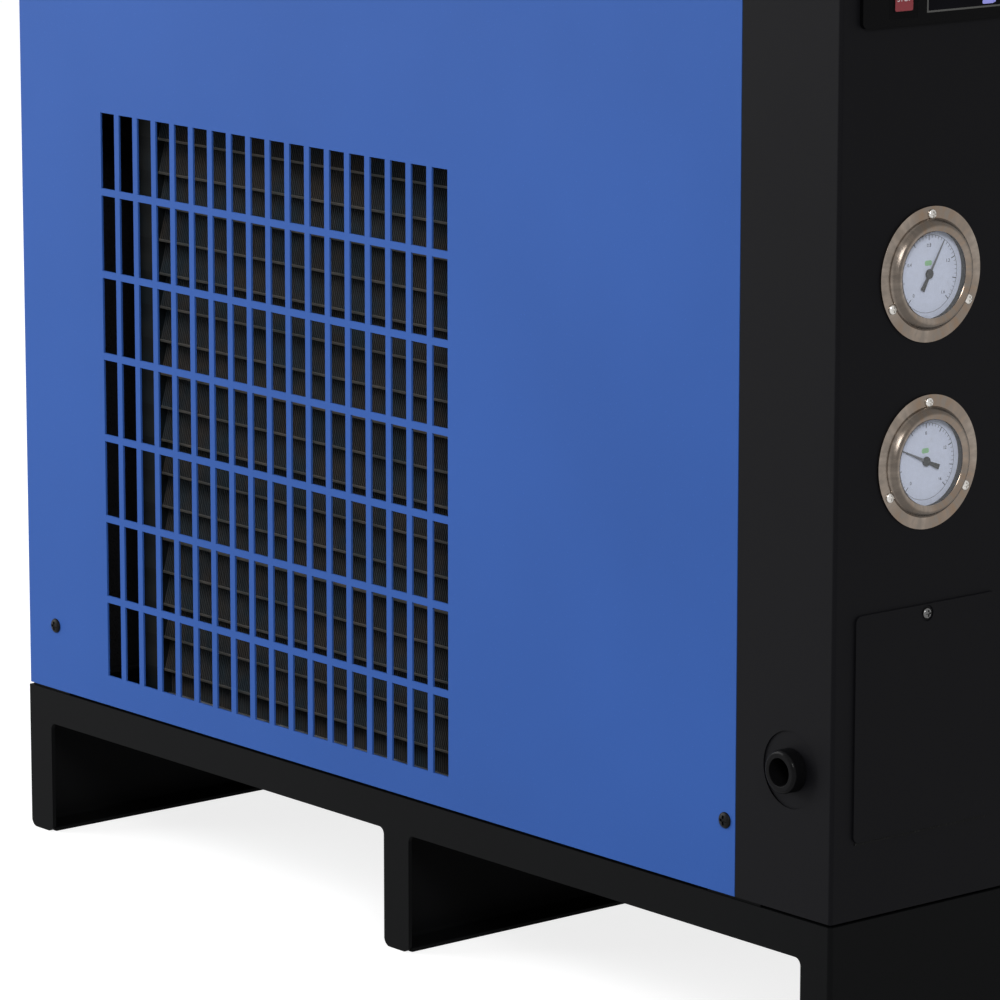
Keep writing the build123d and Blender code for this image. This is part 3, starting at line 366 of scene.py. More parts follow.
def coated_fins(name, cool, warm):
    """Dark-coated fins in cooler and warmer patches, dusty, with a painted shadow under each row's edge."""
    finish = Finish(name, specular_ior_level=0.1)
    low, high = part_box("condenser_coil")
    rise = (finish.height() - (low.z + ROW_EDGE)) * (CONDENSER_ROWS / (high.z - low.z))
    # Painted shadow: dark just under each row's edge, light just above it
    row_shadow = finish.ramp(rise.fraction(), 0.42, 0.72)
    patches = finish.ramp(finish.noise(26.0, 3.0), 0.4, 0.62)
    dust = finish.ramp(finish.noise(70.0, 4.0, (1.0, 1.0, 0.4)), 0.45, 0.75)
    shadowed_tone = finish.blend(row_shadow * 0.62, finish.blend(patches, cool, warm), shade(cool, 0.2))
    tone = finish.blend(dust * 0.4, shadowed_tone, shade(warm, 1.6))
    return finish.surface(tone, 0.62 + 0.2 * dust, finish.noise(600.0, 3.0), 0.00008)


def make_finishes(colours):
    """Every material by its slot in the record."""
    own = COLOUR_OF
    finishes = make_paints(colours, own)
    finishes.update(make_plastics(own))
    finishes.update(make_metals(colours, own))
    finishes.update(make_others(colours, own))
    return finishes


def make_paints(colours, own):
    """Powder coats and enamels."""
    blue, black, base = tuple(colours.blue), tuple(colours.black), tuple(colours.base)
    dark = (0.004, 0.004, 0.0045)
    return {
        "blue_paint": powder_coat("blue_powder_coat", blue, 0.44, 620.0, 0.00003, 0.08),
        "black_paint": powder_coat("base_powder_coat", base, 0.44, 620.0, 0.00003, 0.028),
        "black_texture_paint": powder_coat("cover_textured_coat", black, 0.46, 1100.0, 0.00005, 0.045),
        "fan_paint": powder_coat("fan_enamel", own["fan_paint"], 0.36, 500.0, 0.00003, 0.3),
        "compressor_paint": powder_coat(
            "compressor_enamel", own["compressor_paint"], 0.22, 240.0, 0.00006, 0.4
        ),
        "black_screw": powder_coat("blackened_screw", dark, 0.36, 900.0, 0.00002, 0.08),
    }


def make_plastics(own):
    """Moulded plastics, rubber and films."""
    panel_black, film_black = (0.0018, 0.0018, 0.0021), (0.0015, 0.0015, 0.0018)
    return {
        "handle_paint": moulded("dipped_handle", own["handle_paint"], 0.32, 300.0, 0.00003),
        "panel_plastic": moulded("controller_plastic", panel_black, 0.48, specular=0.035),
        "key_film": moulded("keypad_film", film_black, 0.44, 1500.0, 0.00002, 0.03),
        "gland_plastic": glossy_nylon("gland_nylon", (0.003, 0.003, 0.0034)),
        "matte_black": moulded("matt_moulding", own["matte_black"], 0.7),
        "rubber": moulded("rubber", own["rubber"], 0.78, 600.0, 0.0001, 0.2),
        "contactor_plastic": moulded("contactor_moulding", own["contactor_plastic"], 0.5),
        "terminal_plastic": moulded("terminal_moulding", own["terminal_plastic"], 0.46),
        "drain_nylon": moulded("nylon_tube", own["drain_nylon"], 0.3, 400.0, 0.00002),
    }


def make_metals(colours, own):
    """Bare, plated and cast metals."""
    return {
        "stainless": spun_metal("pressed_stainless", tuple(colours.stainless), 0.14),
        "zinc_screw": bare_metal("bright_zinc", (0.6, 0.58, 0.55), 0.16),
        "steel": bare_metal("turned_steel", (0.3, 0.29, 0.28), 0.26, (6.0, 1.0, 1.0)),
        "brass": bare_metal("turned_brass", own["brass"], 0.22),
        "copper": bare_metal("drawn_copper", own["copper"], 0.26, (2.0, 2.0, 2.0)),
        "galvanised": spangled("galvanised_sheet", own["galvanised"]),
        "bowl_metal": cast_metal("cast_bowl", own["bowl_metal"]),
    }


def make_others(colours, own):
    """Foam, coil, glass and printed plates."""
    return {
        "insulation": foam("foam_insulation", own["insulation"]),
        # Painted shade: the coil block and its end plates get the fins' coating several times darker, for the
        # shade behind and between the fins
        "coil_fins": coated_fins("coil_coating", (0.005, 0.009, 0.012), (0.008, 0.009, 0.009)),
        "gauge_glass": clear_glass("gauge_window", own["gauge_glass"]),
        "display_glass": smoked_window("display_window_gloss", own["display_glass"]),
        "dial_white": printed("dial_plate", tuple(colours.dial)),
        "pointer_black": printed("pointer_enamel", own["pointer_black"], 0.4),
    }


FINISHES = {}


# Meshes

def link(mesh):
    """An object at the origin for a mesh whose place is in its vertices, with the mesh's name."""
    piece = bpy.data.objects.new(mesh.name, mesh)
    bpy.context.scene.collection.objects.link(piece)
    return piece


def from_bmesh(name, shape):
    """A mesh from a bmesh, which is freed."""
    mesh = bpy.data.meshes.new(name)
    shape.to_mesh(mesh)
    shape.free()
    return mesh


def settle(piece):
    """Turns modifiers into a plain mesh."""
    bpy.context.view_layer.update()
    done = piece.evaluated_get(bpy.context.evaluated_depsgraph_get())
    mesh = bpy.data.meshes.new_from_object(done)
    piece.modifiers.clear()
    piece.data = mesh
    return piece


def discard(*pieces):
    """Removes templates that have served."""
    for piece in pieces:
        bpy.data.objects.remove(piece)


def smooth(mesh, degrees):
    """Smooth shading with sharp edges past an angle."""
    mesh.shade_smooth()
    mesh.set_sharp_from_angle(angle=math.radians(degrees))


def coat(piece, slot, material=None):
    """Gives a piece its one material and its slot."""
    piece.data.materials.clear()
    piece.data.materials.append(material or FINISHES[slot])
    return piece


def merged_copy(node):
    """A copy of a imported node's mesh with its triangles joined."""
    shape = bmesh.new()
    shape.from_mesh(frame["nodes"][node].data)
    bmesh.ops.remove_doubles(shape, verts=shape.verts, dist=0.002 * MM)
    return shape


def true_normals(mesh):
    """Flat faces along the axes keep their own direction, and rounded ones run into them."""
    mesh.shade_smooth()
    directions = [polygon.normal.copy() for polygon in mesh.polygons]
    flat = [max(abs(part) for part in direction) > 0.9999 for direction in directions]
    meeting = {}
    for polygon in mesh.polygons:
        for vertex in polygon.vertices:
            meeting.setdefault(vertex, []).append(polygon.index)
    limit = math.cos(math.radians(40))
    normals = []
    for polygon in mesh.polygons:
        own = directions[polygon.index]
        for vertex in polygon.vertices:
            near = [other for other in meeting[vertex] if directions[other].dot(own) > limit]
            if flat[polygon.index]:
                chosen = [polygon.index]
            else:
                chosen = [other for other in near if flat[other]] or near
            total = sum((directions[other] * mesh.polygons[other].area for other in chosen), Vector())
            normals.append(total.normalized() if total.length > 0 else own)
    mesh.normals_split_custom_set(normals)


def softened(node, width=0.0, segments=2):
    """A copy of a node with true shading and, given a width, rounded edges; it stands for the node."""
    mesh = from_bmesh(f"{node}_dressed", merged_copy(node))
    smooth(mesh, 40)
    piece = link(mesh)
    if width:
        bevel = piece.modifiers.new("edges", "BEVEL")
        bevel.width = width
        bevel.segments = segments
        bevel.limit_method = "ANGLE"
        bevel.angle_limit = math.radians(40)
        settle(piece)
    true_normals(piece.data)
    coat(piece, SLOT_OF[node])
    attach(piece, BODY_OF[node])
    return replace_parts(piece, node)


def turned(name, profile, steps=40, closed=False):
    """A solid turned about Z: its outline of radius and height starts and ends on the axis, or is closed."""
    shape = bmesh.new()
    corners = [shape.verts.new((radius, 0.0, rise)) for radius, rise in profile]
    followers = corners[1:] + corners[:1] if closed else corners[1:]
    edges = [shape.edges.new(pair) for pair in zip(corners, followers)]
    axis = {"axis": (0, 0, 1), "cent": (0, 0, 0), "angle": math.tau}
    bmesh.ops.spin(shape, geom=corners + edges, steps=steps, use_duplicate=False, **axis)
    bmesh.ops.remove_doubles(shape, verts=shape.verts, dist=0.001 * MM)
    bmesh.ops.recalc_face_normals(shape, faces=shape.faces)
    return from_bmesh(name, shape)


def to_front(centre):
    """The turn that makes Z look to the front, and the move to a centre."""
    return Matrix.Translation(centre) @ Matrix.Rotation(math.pi / 2, 4, "X")


def block(low, high):
    """A box between two corners, as a bmesh."""
    shape = bmesh.new()
    size = Vector(high) - Vector(low)
    centre = (Vector(high) + Vector(low)) / 2
    place = Matrix.Translation(centre) @ Matrix.Diagonal((*size, 1.0))
    bmesh.ops.create_cube(shape, size=1.0, matrix=place)
    return shape


def rounded_slab(name, low, high, radius, across="Y", steps=5):
    """A slab with rounded corners, seen along one axis."""
    shape = block(low, high)
    axis = "XYZ".index(across)
    others = [side for side in range(3) if side != axis]
    corners = []
    for edge in shape.edges:
        start, end = (vertex.co for vertex in edge.verts)
        if all(abs(start[side] - end[side]) < 1e-7 for side in others):
            corners.append(edge)
    bmesh.ops.bevel(shape, geom=corners, offset=radius, segments=steps, affect="EDGES", profile=0.5)
    bmesh.ops.recalc_face_normals(shape, faces=shape.faces)
    return from_bmesh(name, shape)


def lettering(name, words, size, centre, thickness):
    """Raised letters on a face that looks to the front, centred on a point."""
    curve = bpy.data.curves.new(name, "FONT")
    curve.body = words
    curve.size = size
    curve.align_x = "CENTER"
    curve.align_y = "CENTER"
    curve.extrude = thickness / 2
    source = link(curve)
    mesh = bpy.data.meshes.new_from_object(source.evaluated_get(bpy.context.evaluated_depsgraph_get()))
    mesh.name = name
    discard(source)
    mesh.transform(to_front(centre))
    return mesh


def joined(name, meshes):
    """One mesh from several."""
    shape = bmesh.new()
    for mesh in meshes:
        shape.from_mesh(mesh)
    return from_bmesh(name, shape)


def place_piece(mesh, slot, body="cabinet", material=None, stands_for=()):
    """Links a finished mesh under its own name, coats it and lets it ride."""
    piece = coat(link(mesh), slot, material)
    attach(piece, body)
    if stands_for:
        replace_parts(piece, *stands_for)
    return piece


# Geometry trees for what repeats

class Layout(Tree):
    """A geometry tree with named inputs that repeats a template."""

    def __init__(self, name):
        super().__init__(bpy.data.node_groups.new(f"{name}_layout", "GeometryNodeTree"))
        self.name = name
        self.node_tree.interface.new_socket("Geometry", in_out="INPUT", socket_type="NodeSocketGeometry")
        self.node_tree.interface.new_socket("Geometry", in_out="OUTPUT", socket_type="NodeSocketGeometry")
        self.entry = self.node_tree.nodes.new("NodeGroupInput")
        self.numbers = {}

    def number(self, name, kind, value):
        """Adds a named input and keeps the value that the modifier gives it."""
        socket = self.node_tree.interface.new_socket(name, in_out="INPUT", socket_type=f"NodeSocket{kind}")
        self.numbers[socket.identifier] = value
        return Value(self, self.entry.outputs[name])

    def repeat(self, template, material, sockets, mesh=None):
        """Puts real copies of a template on points and returns the plain result as a piece."""
        source = self.node("GeometryNodeObjectInfo", None, {"Object": template}, output="Geometry")
        copies = self.node("GeometryNodeInstanceOnPoints", None, {"Instance": source, **sockets})
        real = self.node("GeometryNodeRealizeInstances", None, {0: copies})
        done = self.node("GeometryNodeSetMaterial", None, {"Geometry": real, "Material": material})
        self.feed(self.node_tree.nodes.new("NodeGroupOutput").inputs[0], done)
        piece = link(mesh or bpy.data.meshes.new(self.name))
        modifier = piece.modifiers.new("layout", "NODES")
        modifier.node_group = self.node_tree
        for identifier, value in self.numbers.items():
            modifier[identifier] = value
        return settle(piece)


def in_a_row(name, template, count, start, step, material):
    """Copies of a template in a straight row."""
    layout = Layout(name)
    sockets = {
        "Count": layout.number("Count", "Int", count),
        "Start Location": layout.number("Start", "Vector", start),
        "Offset": layout.number("Step", "Vector", step),
    }
    line = layout.node("GeometryNodeMeshLine", {"mode": "OFFSET"}, sockets)
    return layout.repeat(template, material, {"Points": line})


def round_an_arc(name, template, count, centre, first, step, material):
    """Copies of a template turned about an axis along Y through a centre, with angles in radians."""
    layout = Layout(name)
    sockets = {
        "Count": layout.number("Count", "Int", count),
        "Position": layout.number("Centre", "Vector", centre),
    }
    points = layout.node("GeometryNodePoints", None, sockets)
    index = layout.node("GeometryNodeInputIndex")
    angle = index * layout.number("Angle step", "Float", step) + layout.number("First angle", "Float", first)
    turn = layout.node("ShaderNodeCombineXYZ", None, {"Y": angle})
    return layout.repeat(template, material, {"Points": points, "Rotation": turn})


def on_places(name, template, places, material):
    """Copies of a template on points, each with its Z along that point's outward direction."""
    mesh = bpy.data.meshes.new(name)
    mesh.from_pydata([point for point, _ in places], [], [])
    outward = mesh.attributes.new("outward", "FLOAT_VECTOR", "POINT")
    for entry, (_, direction) in zip(outward.data, places):
        entry.vector = direction
    layout = Layout(name)
    kind = {"data_type": "FLOAT_VECTOR"}
    facing = layout.node("GeometryNodeInputNamedAttribute", kind, {"Name": "outward"})
    turn = layout.node("FunctionNodeAlignRotationToVector", {"axis": "Z"}, {"Vector": facing})
    points = Value(layout, layout.entry.outputs["Geometry"])
    sockets = {"Points": points, "Rotation": turn, "Scale": layout.number("Scale", "Float", 1.0)}
    return layout.repeat(template, material, sockets, mesh)


def fixed(piece):
    """Lets a finished row of copies ride on the cabinet."""
    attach(piece, "cabinet")


# Screws

def islands(node):
    """The lowest and highest corners of each separate solid in a node."""
    shape = merged_copy(node)
    left = set(shape.verts)
    boxes = []
    while left:
        waiting = [left.pop()]
        points = []
        while waiting:
            vertex = waiting.pop()
            points.append(vertex.co)
            for edge in vertex.link_edges:
                other = edge.other_vert(vertex)
                if other in left:
                    left.discard(other)
                    waiting.append(other)
        low = Vector([min(point[side] for point in points) for side in range(3)])
        high = Vector([max(point[side] for point in points) for side in range(3)])
        boxes.append((low, high))
    shape.free()
    return sorted(boxes, key=lambda box: tuple(box[0]))


def cabinet_middle():
    """The middle of the cabinet, with the lid's outline and its height above the floor."""
    low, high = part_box("top_cover")
    return Vector(((low.x + high.x) / 2, (low.y + high.y) / 2, high.z / 2))


def screw_seat(low, high):
    """Where a screw's head ends outside, its outward direction, head radius and whole length."""
    size = high - low
    spread = []
    for side in range(3):
        first, second = size[(side + 1) % 3], size[(side + 2) % 3]
        spread.append(abs(size[side] - first) + abs(size[side] - second))
    axis = spread.index(max(spread))
    centre = (low + high) / 2
    sign = 1.0 if centre[axis] > cabinet_middle()[axis] else -1.0
    outward = Vector([sign if side == axis else 0.0 for side in range(3)])
    top = centre + outward * size[axis] / 2
    return top, outward, size[(axis + 1) % 3] / 2, size[axis]


def dome(radius, rise, steps=5):
    """The outline of a low dome from its top, at height 0, to its rim."""
    turns = [step / steps * math.pi / 2 for step in range(steps + 1)]
    return [(radius * math.sin(turn), -rise * (1 - math.cos(turn))) for turn in turns]


def screw_template(name, radius, whole, head, shank):
    """A dome-head screw with a cross recess, its top at the origin and pointing down Z."""
    tip, pitch = 0.8 * MM, 1.0 * MM
    root = shank * 0.84
    thread = []
    rise = -head
    while rise - pitch > -whole + tip:
        thread += [(shank, rise), (root, rise - pitch / 2)]
        rise -= pitch
    end = [(root, rise), (shank * 0.5, -whole), (0.0, -whole)]
    body = link(turned(name, dome(radius, head * 0.75) + [(radius, -head)] + thread + end))
    cross = bmesh.new()
    for across, along in ((0.17, 0.62), (0.62, 0.17)):
        size = (across * radius * 2, along * radius * 2, head * 1.1)
        bmesh.ops.create_cube(cross, size=1.0, matrix=Matrix.Diagonal((*size, 1.0)))
    cutter = link(from_bmesh(f"{name}_cutter", cross))
    cut = body.modifiers.new("recess", "BOOLEAN")
    cut.object = cutter
    cut.solver = "EXACT"
    cut.use_self = True
    settle(body)
    discard(cutter)
    smooth(body.data, 35)
    return body


def dress_screws(node, head, shank, material=None):
    """Replaces one node's plain screws with cross-recessed ones."""
    seats = [screw_seat(low, high) for low, high in islands(node)]
    _, _, radius, whole = seats[0]
    template = screw_template(f"{node}_template", radius, whole, head, shank)
    places = [(top, outward) for top, outward, _, _ in seats]
    piece = on_places(f"{node}_dressed", template, places, material or FINISHES[SLOT_OF[node]])
    discard(template)
    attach(piece, BODY_OF[node])
    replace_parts(piece, node)


class DRYER_OT_screws(bpy.types.Operator):
    """Cross-recessed screws in the panels, the gauges and the access cover."""

    bl_idname = "dryer.screws"
    bl_label = "Screws"

    def execute(self, context):
        dress_screws("panel_screws", 2.2 * MM, 2.4 * MM)
        dress_screws("gauge_screws", 1.8 * MM, 1.9 * MM, FINISHES["zinc_screw"])
        # Painted shade: the access cover's screw gets zinc at about a fifth of the other screws' brightness,
        # so it shows dark apart from the lamps' glints
        dull_zinc = bare_metal("dull_zinc", (0.12, 0.12, 0.12), 0.16)
        dress_screws("access_cover_screw", 2.2 * MM, 2.0 * MM, dull_zinc)
        return {"FINISHED"}


class DRYER_OT_finishes(bpy.types.Operator):
    """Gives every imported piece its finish."""

    bl_idname = "dryer.finishes"
    bl_label = "Finishes"

    def execute(self, context):
        FINISHES.update(make_finishes(context.scene.dryer_colours))
        for node, piece in frame["nodes"].items():
            coat(piece, SLOT_OF[node])
        return {"FINISHED"}


class DRYER_OT_sheet_metal(bpy.types.Operator):
    """Painted sheets with true shading; the lid, the access cover and the base plates also get softly rounded
    edges.
    """

    bl_idname = "dryer.sheet_metal"
    bl_label = "Sheet metal"

    def execute(self, context):
        sizes = context.scene.dryer_sizes
        for node in ("side_panel_left", "side_panel_right", "front_cover", "rear_panel"):
            softened(node)
        for node in ("top_cover", "access_cover"):
            softened(node, sizes.sheet_round)
        for node in ("front", "side_left", "side_right", "channel_middle", "channel_rear"):
            softened(f"base_{node}", sizes.base_round)
        return {"FINISHED"}


class DRYER_OT_mouldings(bpy.types.Operator):
    """Moulded, cast and pressed pieces with softly rounded edges."""

    bl_idname = "dryer.mouldings"
    bl_label = "Mouldings"

    def execute(self, context):
        sizes = context.scene.dryer_sizes
        moulded_nodes = (
            "control_panel", "contactor", "compressor_terminal_cover", "heat_exchanger", "cable_gland",
        )
        for node in moulded_nodes:
            softened(node, sizes.moulded_round)
        for node in ("keypad", "terminal_block", "motor_bracket"):
            softened(node, sizes.small_round)
        return {"FINISHED"}


def foam_piece(mesh, base):
    """A piece with a dark foam finish on the cabinet; the seals are real foam, while the rear lining and the
    access strip are painted shade.
    """
    place_piece(mesh, "insulation", material=foam(f"{mesh.name}_foam", base))


def gasket(name, bottom, top):
    """A flat ring of foam in a level seam, just inside the cabinet's outline."""
    low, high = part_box("top_cover")
    set_back, set_back_rear, width = 5.0 * MM, 1.0 * MM, 9.0 * MM
    start = Vector((low.x + set_back, 0.0, low.y + set_back))
    end = Vector((high.x - set_back, 0.0, high.y - set_back_rear))
    ring = frame_line(name, start, end, width, -bottom, top - bottom)
    ring.transform(Matrix.Rotation(-math.pi / 2, 4, "X"))
    foam_piece(ring, (0.006, 0.006, 0.007))


def rear_lining():
    """Dark foam on the inside of the rear panel, clear of the post and the pipes; its dark colour is painted
    shade for the inside seen through the grille.
    """
    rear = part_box("rear_panel")[0]
    left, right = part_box("post_rear_left")[1].x + 1.0 * MM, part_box("drain_pipe")[0].x - 30.0 * MM
    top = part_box("air_inlet_pipe")[0].z - 20.0 * MM
    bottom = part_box("side_panel_left")[0].z + 0.5 * MM
    start, end = (left, rear.y - 2.5 * MM, bottom), (right, rear.y - 0.05 * MM, top)
    # Painted shade: a dark lining where the inside of the cabinet lies in shade
    foam_piece(rounded_slab("rear_lining", start, end, 8.0 * MM), (0.008, 0.008, 0.009))


def access_seal():
    """A thin near-black strip that paints the shadow line under the access cover."""
    low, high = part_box("access_cover")
    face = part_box("front_cover")[0].y
    inset, air = 2.0 * MM, 0.02 * MM
    start = (low.x + inset, face - 0.6 * MM, low.z - 1.7 * MM)
    end = (high.x - inset, face - air, low.z - air)
    # Painted shadow: near-black where the cover's shadow falls below it
    foam_piece(rounded_slab("access_seal", start, end, 0.4 * MM), (0.0008, 0.0008, 0.0009))


class DRYER_OT_gaskets(bpy.types.Operator):
    """Foam in the seams above the base and under the lid, with dark foam on the rear panel as painted shade
    and a near-black strip as the painted shadow under the access cover.
    """

    bl_idname = "dryer.gaskets"
    bl_label = "Gaskets and lining"

    def execute(self, context):
        panel_low, panel_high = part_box("side_panel_left")
        gasket("base_gasket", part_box("base_deck")[1].z, panel_low.z)
        gasket("lid_gasket", panel_high.z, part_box("top_cover")[0].z)
        rear_lining()
        access_seal()
        return {"FINISHED"}


# Condenser

def fin_outline(front, bottom, top):
    """Front edge of a fin as X and Z: one slanted step for each tube row, from bottom to top."""
    wave, lip = 6.0 * MM, 1.5 * MM
    points = [(front + wave, bottom)]
    for row in range(CONDENSER_ROWS):
        edge = bottom + (top - bottom) * row / CONDENSER_ROWS + ROW_EDGE
        points += [(front + wave, edge - lip), (front, edge)]
    return points + [(front + wave, top)]


def fin_template(name, outline, depth, thickness):
    """One thin fin with a stepped front edge, centred on Y."""
    shape = bmesh.new()
    half = thickness / 2
    rings = []
    for y in (-half, half):
        front = [shape.verts.new((x, y, z)) for x, z in outline]
        back = [shape.verts.new((x + depth, y, z)) for x, z in outline]
        rings.append((front, back))
    (front_a, back_a), (front_b, back_b) = rings
    for step in range(len(outline) - 1):
        shape.faces.new((front_a[step], front_a[step + 1], back_a[step + 1], back_a[step]))
        shape.faces.new((front_b[step + 1], front_b[step], back_b[step], back_b[step + 1]))
        shape.faces.new((front_a[step + 1], front_a[step], front_b[step], front_b[step + 1]))
        shape.faces.new((back_a[step], back_a[step + 1], back_b[step + 1], back_b[step]))
    for end in (0, -1):
        shape.faces.new((front_a[end], back_a[end], back_b[end], front_b[end]))
    bmesh.ops.recalc_face_normals(shape, faces=shape.faces)
    return link(from_bmesh(name, shape))


def condenser_span():
    """Where the fins start and end along Y: past the end plate's flange, and short of the rail's end."""
    flange, clearance = 20.0 * MM, 1.5 * MM
    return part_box("condenser_coil")[0].y + flange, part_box("condenser_rail")[1].y - clearance


def condenser_front(sizes):
    """X of the fins' front edges."""
    plate = 2.0 * MM
    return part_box("condenser_coil")[0].x + plate - sizes.fin_proud


def condenser_fins(sizes):
    """The row of thin fins."""
    low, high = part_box("condenser_coil")
    start, end = condenser_span()
    outline = fin_outline(condenser_front(sizes), low.z, high.z)
    template = fin_template("fin_template", outline, 2.0 * MM, sizes.fin_sheet)
    count = int((end - start) / sizes.fin_pitch)
    first, step = (0.0, start + sizes.fin_pitch / 2, 0.0), (0.0, sizes.fin_pitch, 0.0)
    finish = coated_fins("fin_coating", (0.034, 0.05, 0.062), (0.06, 0.052, 0.046))
    fins = in_a_row("condenser_fins", template, count, first, step, finish)
    discard(template)
    return fins


def condenser_row_edges(sizes):
    """The folded lip along the foremost edge of each tube row."""
    low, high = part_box("condenser_coil")
    start, end = condenser_span()
    count = int((end - start) / sizes.fin_pitch)
    front, edge = condenser_front(sizes), low.z + ROW_EDGE
    lip_low = (front - 0.1 * MM, start, edge - 1.4 * MM)
    lip_high = (front + 0.6 * MM, start + count * sizes.fin_pitch, edge + 0.5 * MM)
    template = link(rounded_slab("lip_template", lip_low, lip_high, 0.25 * MM))
    step = (0.0, 0.0, (high.z - low.z) / CONDENSER_ROWS)
    finish = coated_fins("lip_coating", (0.04, 0.046, 0.045), (0.075, 0.066, 0.057))
    lips = in_a_row("condenser_row_edges", template, CONDENSER_ROWS, (0.0, 0.0, 0.0), step, finish)
    discard(template)
    return lips


class DRYER_OT_condenser(bpy.types.Operator):
    """Thin fins that stand out of the condenser's fin block, with the folded edges of its rows."""

    bl_idname = "dryer.condenser"
    bl_label = "Condenser fins"

    def execute(self, context):
        sizes = context.scene.dryer_sizes
        fixed(condenser_fins(sizes))
        fixed(condenser_row_edges(sizes))
        return {"FINISHED"}


# Gauges. In millimetres: profiles are radius and height above the flange, outlines run along the pointer

BEZEL_PROFILE = [
    (29.6, 0.0), (35.2, 0.0), (35.1, 0.5), (34.5, 1.5), (33.6, 2.6), (32.7, 3.7), (31.6, 4.6), (30.4, 4.9),
    (29.2, 4.6), (28.3, 4.0), (27.5, 3.6), (27.1, 3.2), (27.2, 2.7), (29.6, 2.6),
]
WINDOW_PROFILE = [(0.0, 2.9), (20.0, 2.8), (28.6, 2.5), (28.8, 2.2), (28.6, 1.9), (0.0, 1.9)]
WALL_SHADE_PROFILE = [(28.2, 1.8), (29.2, 1.8), (29.2, -2.1), (28.2, -2.1)]
HUB_PROFILE = [(0.0, 0.0), (2.9, -0.1), (3.1, -0.45), (3.1, -1.1), (1.0, -1.1)]
NEEDLE_OUTLINE = [(2.6, -0.85), (12.0, -0.6), (23.3, -0.25), (23.3, 0.25), (12.0, 0.6), (2.6, 0.85)]
TAIL_OUTLINE = [(-11.6, -1.7), (-2.0, -1.0), (0.0, -1.2), (0.0, 1.2), (-2.0, 1.0), (-11.6, 1.7)]

# The whole turn of a scale, and the radius of the line round it
SWEEP = math.radians(270.0)
SCALE_RADIUS = 24.2 * MM


def gauge_centre(place):
    """Middle of a gauge's dial face."""
    low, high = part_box(f"{place}_gauge_dial")
    return Vector(((low.x + high.x) / 2, low.y, (low.z + high.z) / 2))


def gauge_ticks(place, kind, divisions, inner, width, ink):
    """One ring of marks on a dial, from a radius out to the scale's line."""
    mark = block((-width / 2, -INK, inner), (width / 2, 0.0, SCALE_RADIUS))
    name = f"{place}_{kind}_scale"
    template = link(from_bmesh(f"{name}_template", mark))
    centre, turn = gauge_centre(place), SWEEP / divisions
    fixed(round_an_arc(name, template, divisions + 1, centre, -SWEEP / 2, turn, ink))
    discard(template)


def gauge_numbers(place, top_reading, divisions, ink):
    """A number at every second main mark."""
    reach, size = 17.8 * MM, 3.0 * MM
    centre = gauge_centre(place)
    numbers = []
    for step in range(0, divisions + 1, 2):
        turn = SWEEP * (step / divisions - 0.5)
        spot = centre + Vector((reach * math.sin(turn), -INK / 2, reach * math.cos(turn)))
        reading = f"{top_reading * step / divisions:g}"
        numbers.append(lettering(f"{place}_number_{step}", reading, size, spot, INK))
    place_piece(joined(f"{place}_scale_numbers", numbers), "dial_white", material=ink)


def gauge_print(place, top_reading, sizes, colours):
    """Scale, numbers and the plain mark of one gauge."""
    ink = printed(f"{place}_scale_ink", (0.03, 0.032, 0.04))
    major = sizes.major_ticks
    gauge_ticks(place, "major", major, 21.0 * MM, 0.5 * MM, ink)
    gauge_ticks(place, "minor", major * sizes.minor_ticks, 22.4 * MM, 0.22 * MM, ink)
    gauge_numbers(place, top_reading, major, ink)
    centre = gauge_centre(place)
    outer = SCALE_RADIUS + 0.2 * MM
    section = [(SCALE_RADIUS, 0.0), (outer, 0.0), (outer, INK), (SCALE_RADIUS, INK)]
    line = turned(f"{place}_scale_line", section, 72, closed=True)
    line.transform(to_front(centre))
    place_piece(line, "dial_white", material=ink)
    low = centre + Vector((-3.4 * MM, -INK, 5.2 * MM))
    high = centre + Vector((2.6 * MM, 0.0, 8.4 * MM))
    mark = rounded_slab(f"{place}_dial_mark", low, high, 1.2 * MM)
    green = printed(f"{place}_mark_ink", tuple(colours.dial_mark))
    place_piece(mark, "dial_white", material=green)


def ring_mesh(name, profile, centre, steps=96):
    """A closed ring turned about Y through a centre; heights are measured to the front."""
    mesh = turned(name, profile, steps, closed=True)
    mesh.transform(to_front(centre))
    smooth(mesh, 50)
    return mesh


def millimetres(points):
    """A profile given in millimetres, in metres."""
    return [(first * MM, second * MM) for first, second in points]


def mark_round(mesh, centre):
    """Keeps each point's direction and distance from a gauge's middle, for finishes that run round it."""
    around = mesh.attributes.new("around", "FLOAT_VECTOR", "POINT")
    for entry, vertex in zip(around.data, mesh.vertices):
        outward = Vector((vertex.co.x - centre.x, 0.0, vertex.co.z - centre.z))
        heading = outward.normalized()
        entry.vector = (heading.x, heading.z, outward.length)


def gauge_metal(place):
    """Pressed flange and rolled bezel of one gauge, with the window that the bezel holds, and a matt black
    ring that paints the shade on the case's inner wall.
    """
    centre = gauge_centre(place)
    low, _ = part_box(f"{place}_gauge_case")
    seat = Vector((centre.x, low.y, centre.z))
    flange = softened(f"{place}_gauge_case", 0.4 * MM, 3)
    mark_round(flange.data, centre)
    bezel = ring_mesh(f"{place}_bezel_rolled", millimetres(BEZEL_PROFILE), seat)
    mark_round(bezel, centre)
    place_piece(bezel, "stainless", stands_for=(f"{place}_gauge_bezel",))
    window = turned(f"{place}_window", millimetres(WINDOW_PROFILE), 64)
    window.transform(to_front(seat))
    smooth(window, 40)
    place_piece(window, "gauge_glass", stands_for=(f"{place}_gauge_glass",))
    # Painted shade: a matt black ring where the case's inner wall lies in shade between the window and the
    # dial
    inner_wall_shade = ring_mesh(f"{place}_dial_surround", millimetres(WALL_SHADE_PROFILE), seat)
    place_piece(inner_wall_shade, "matte_black")


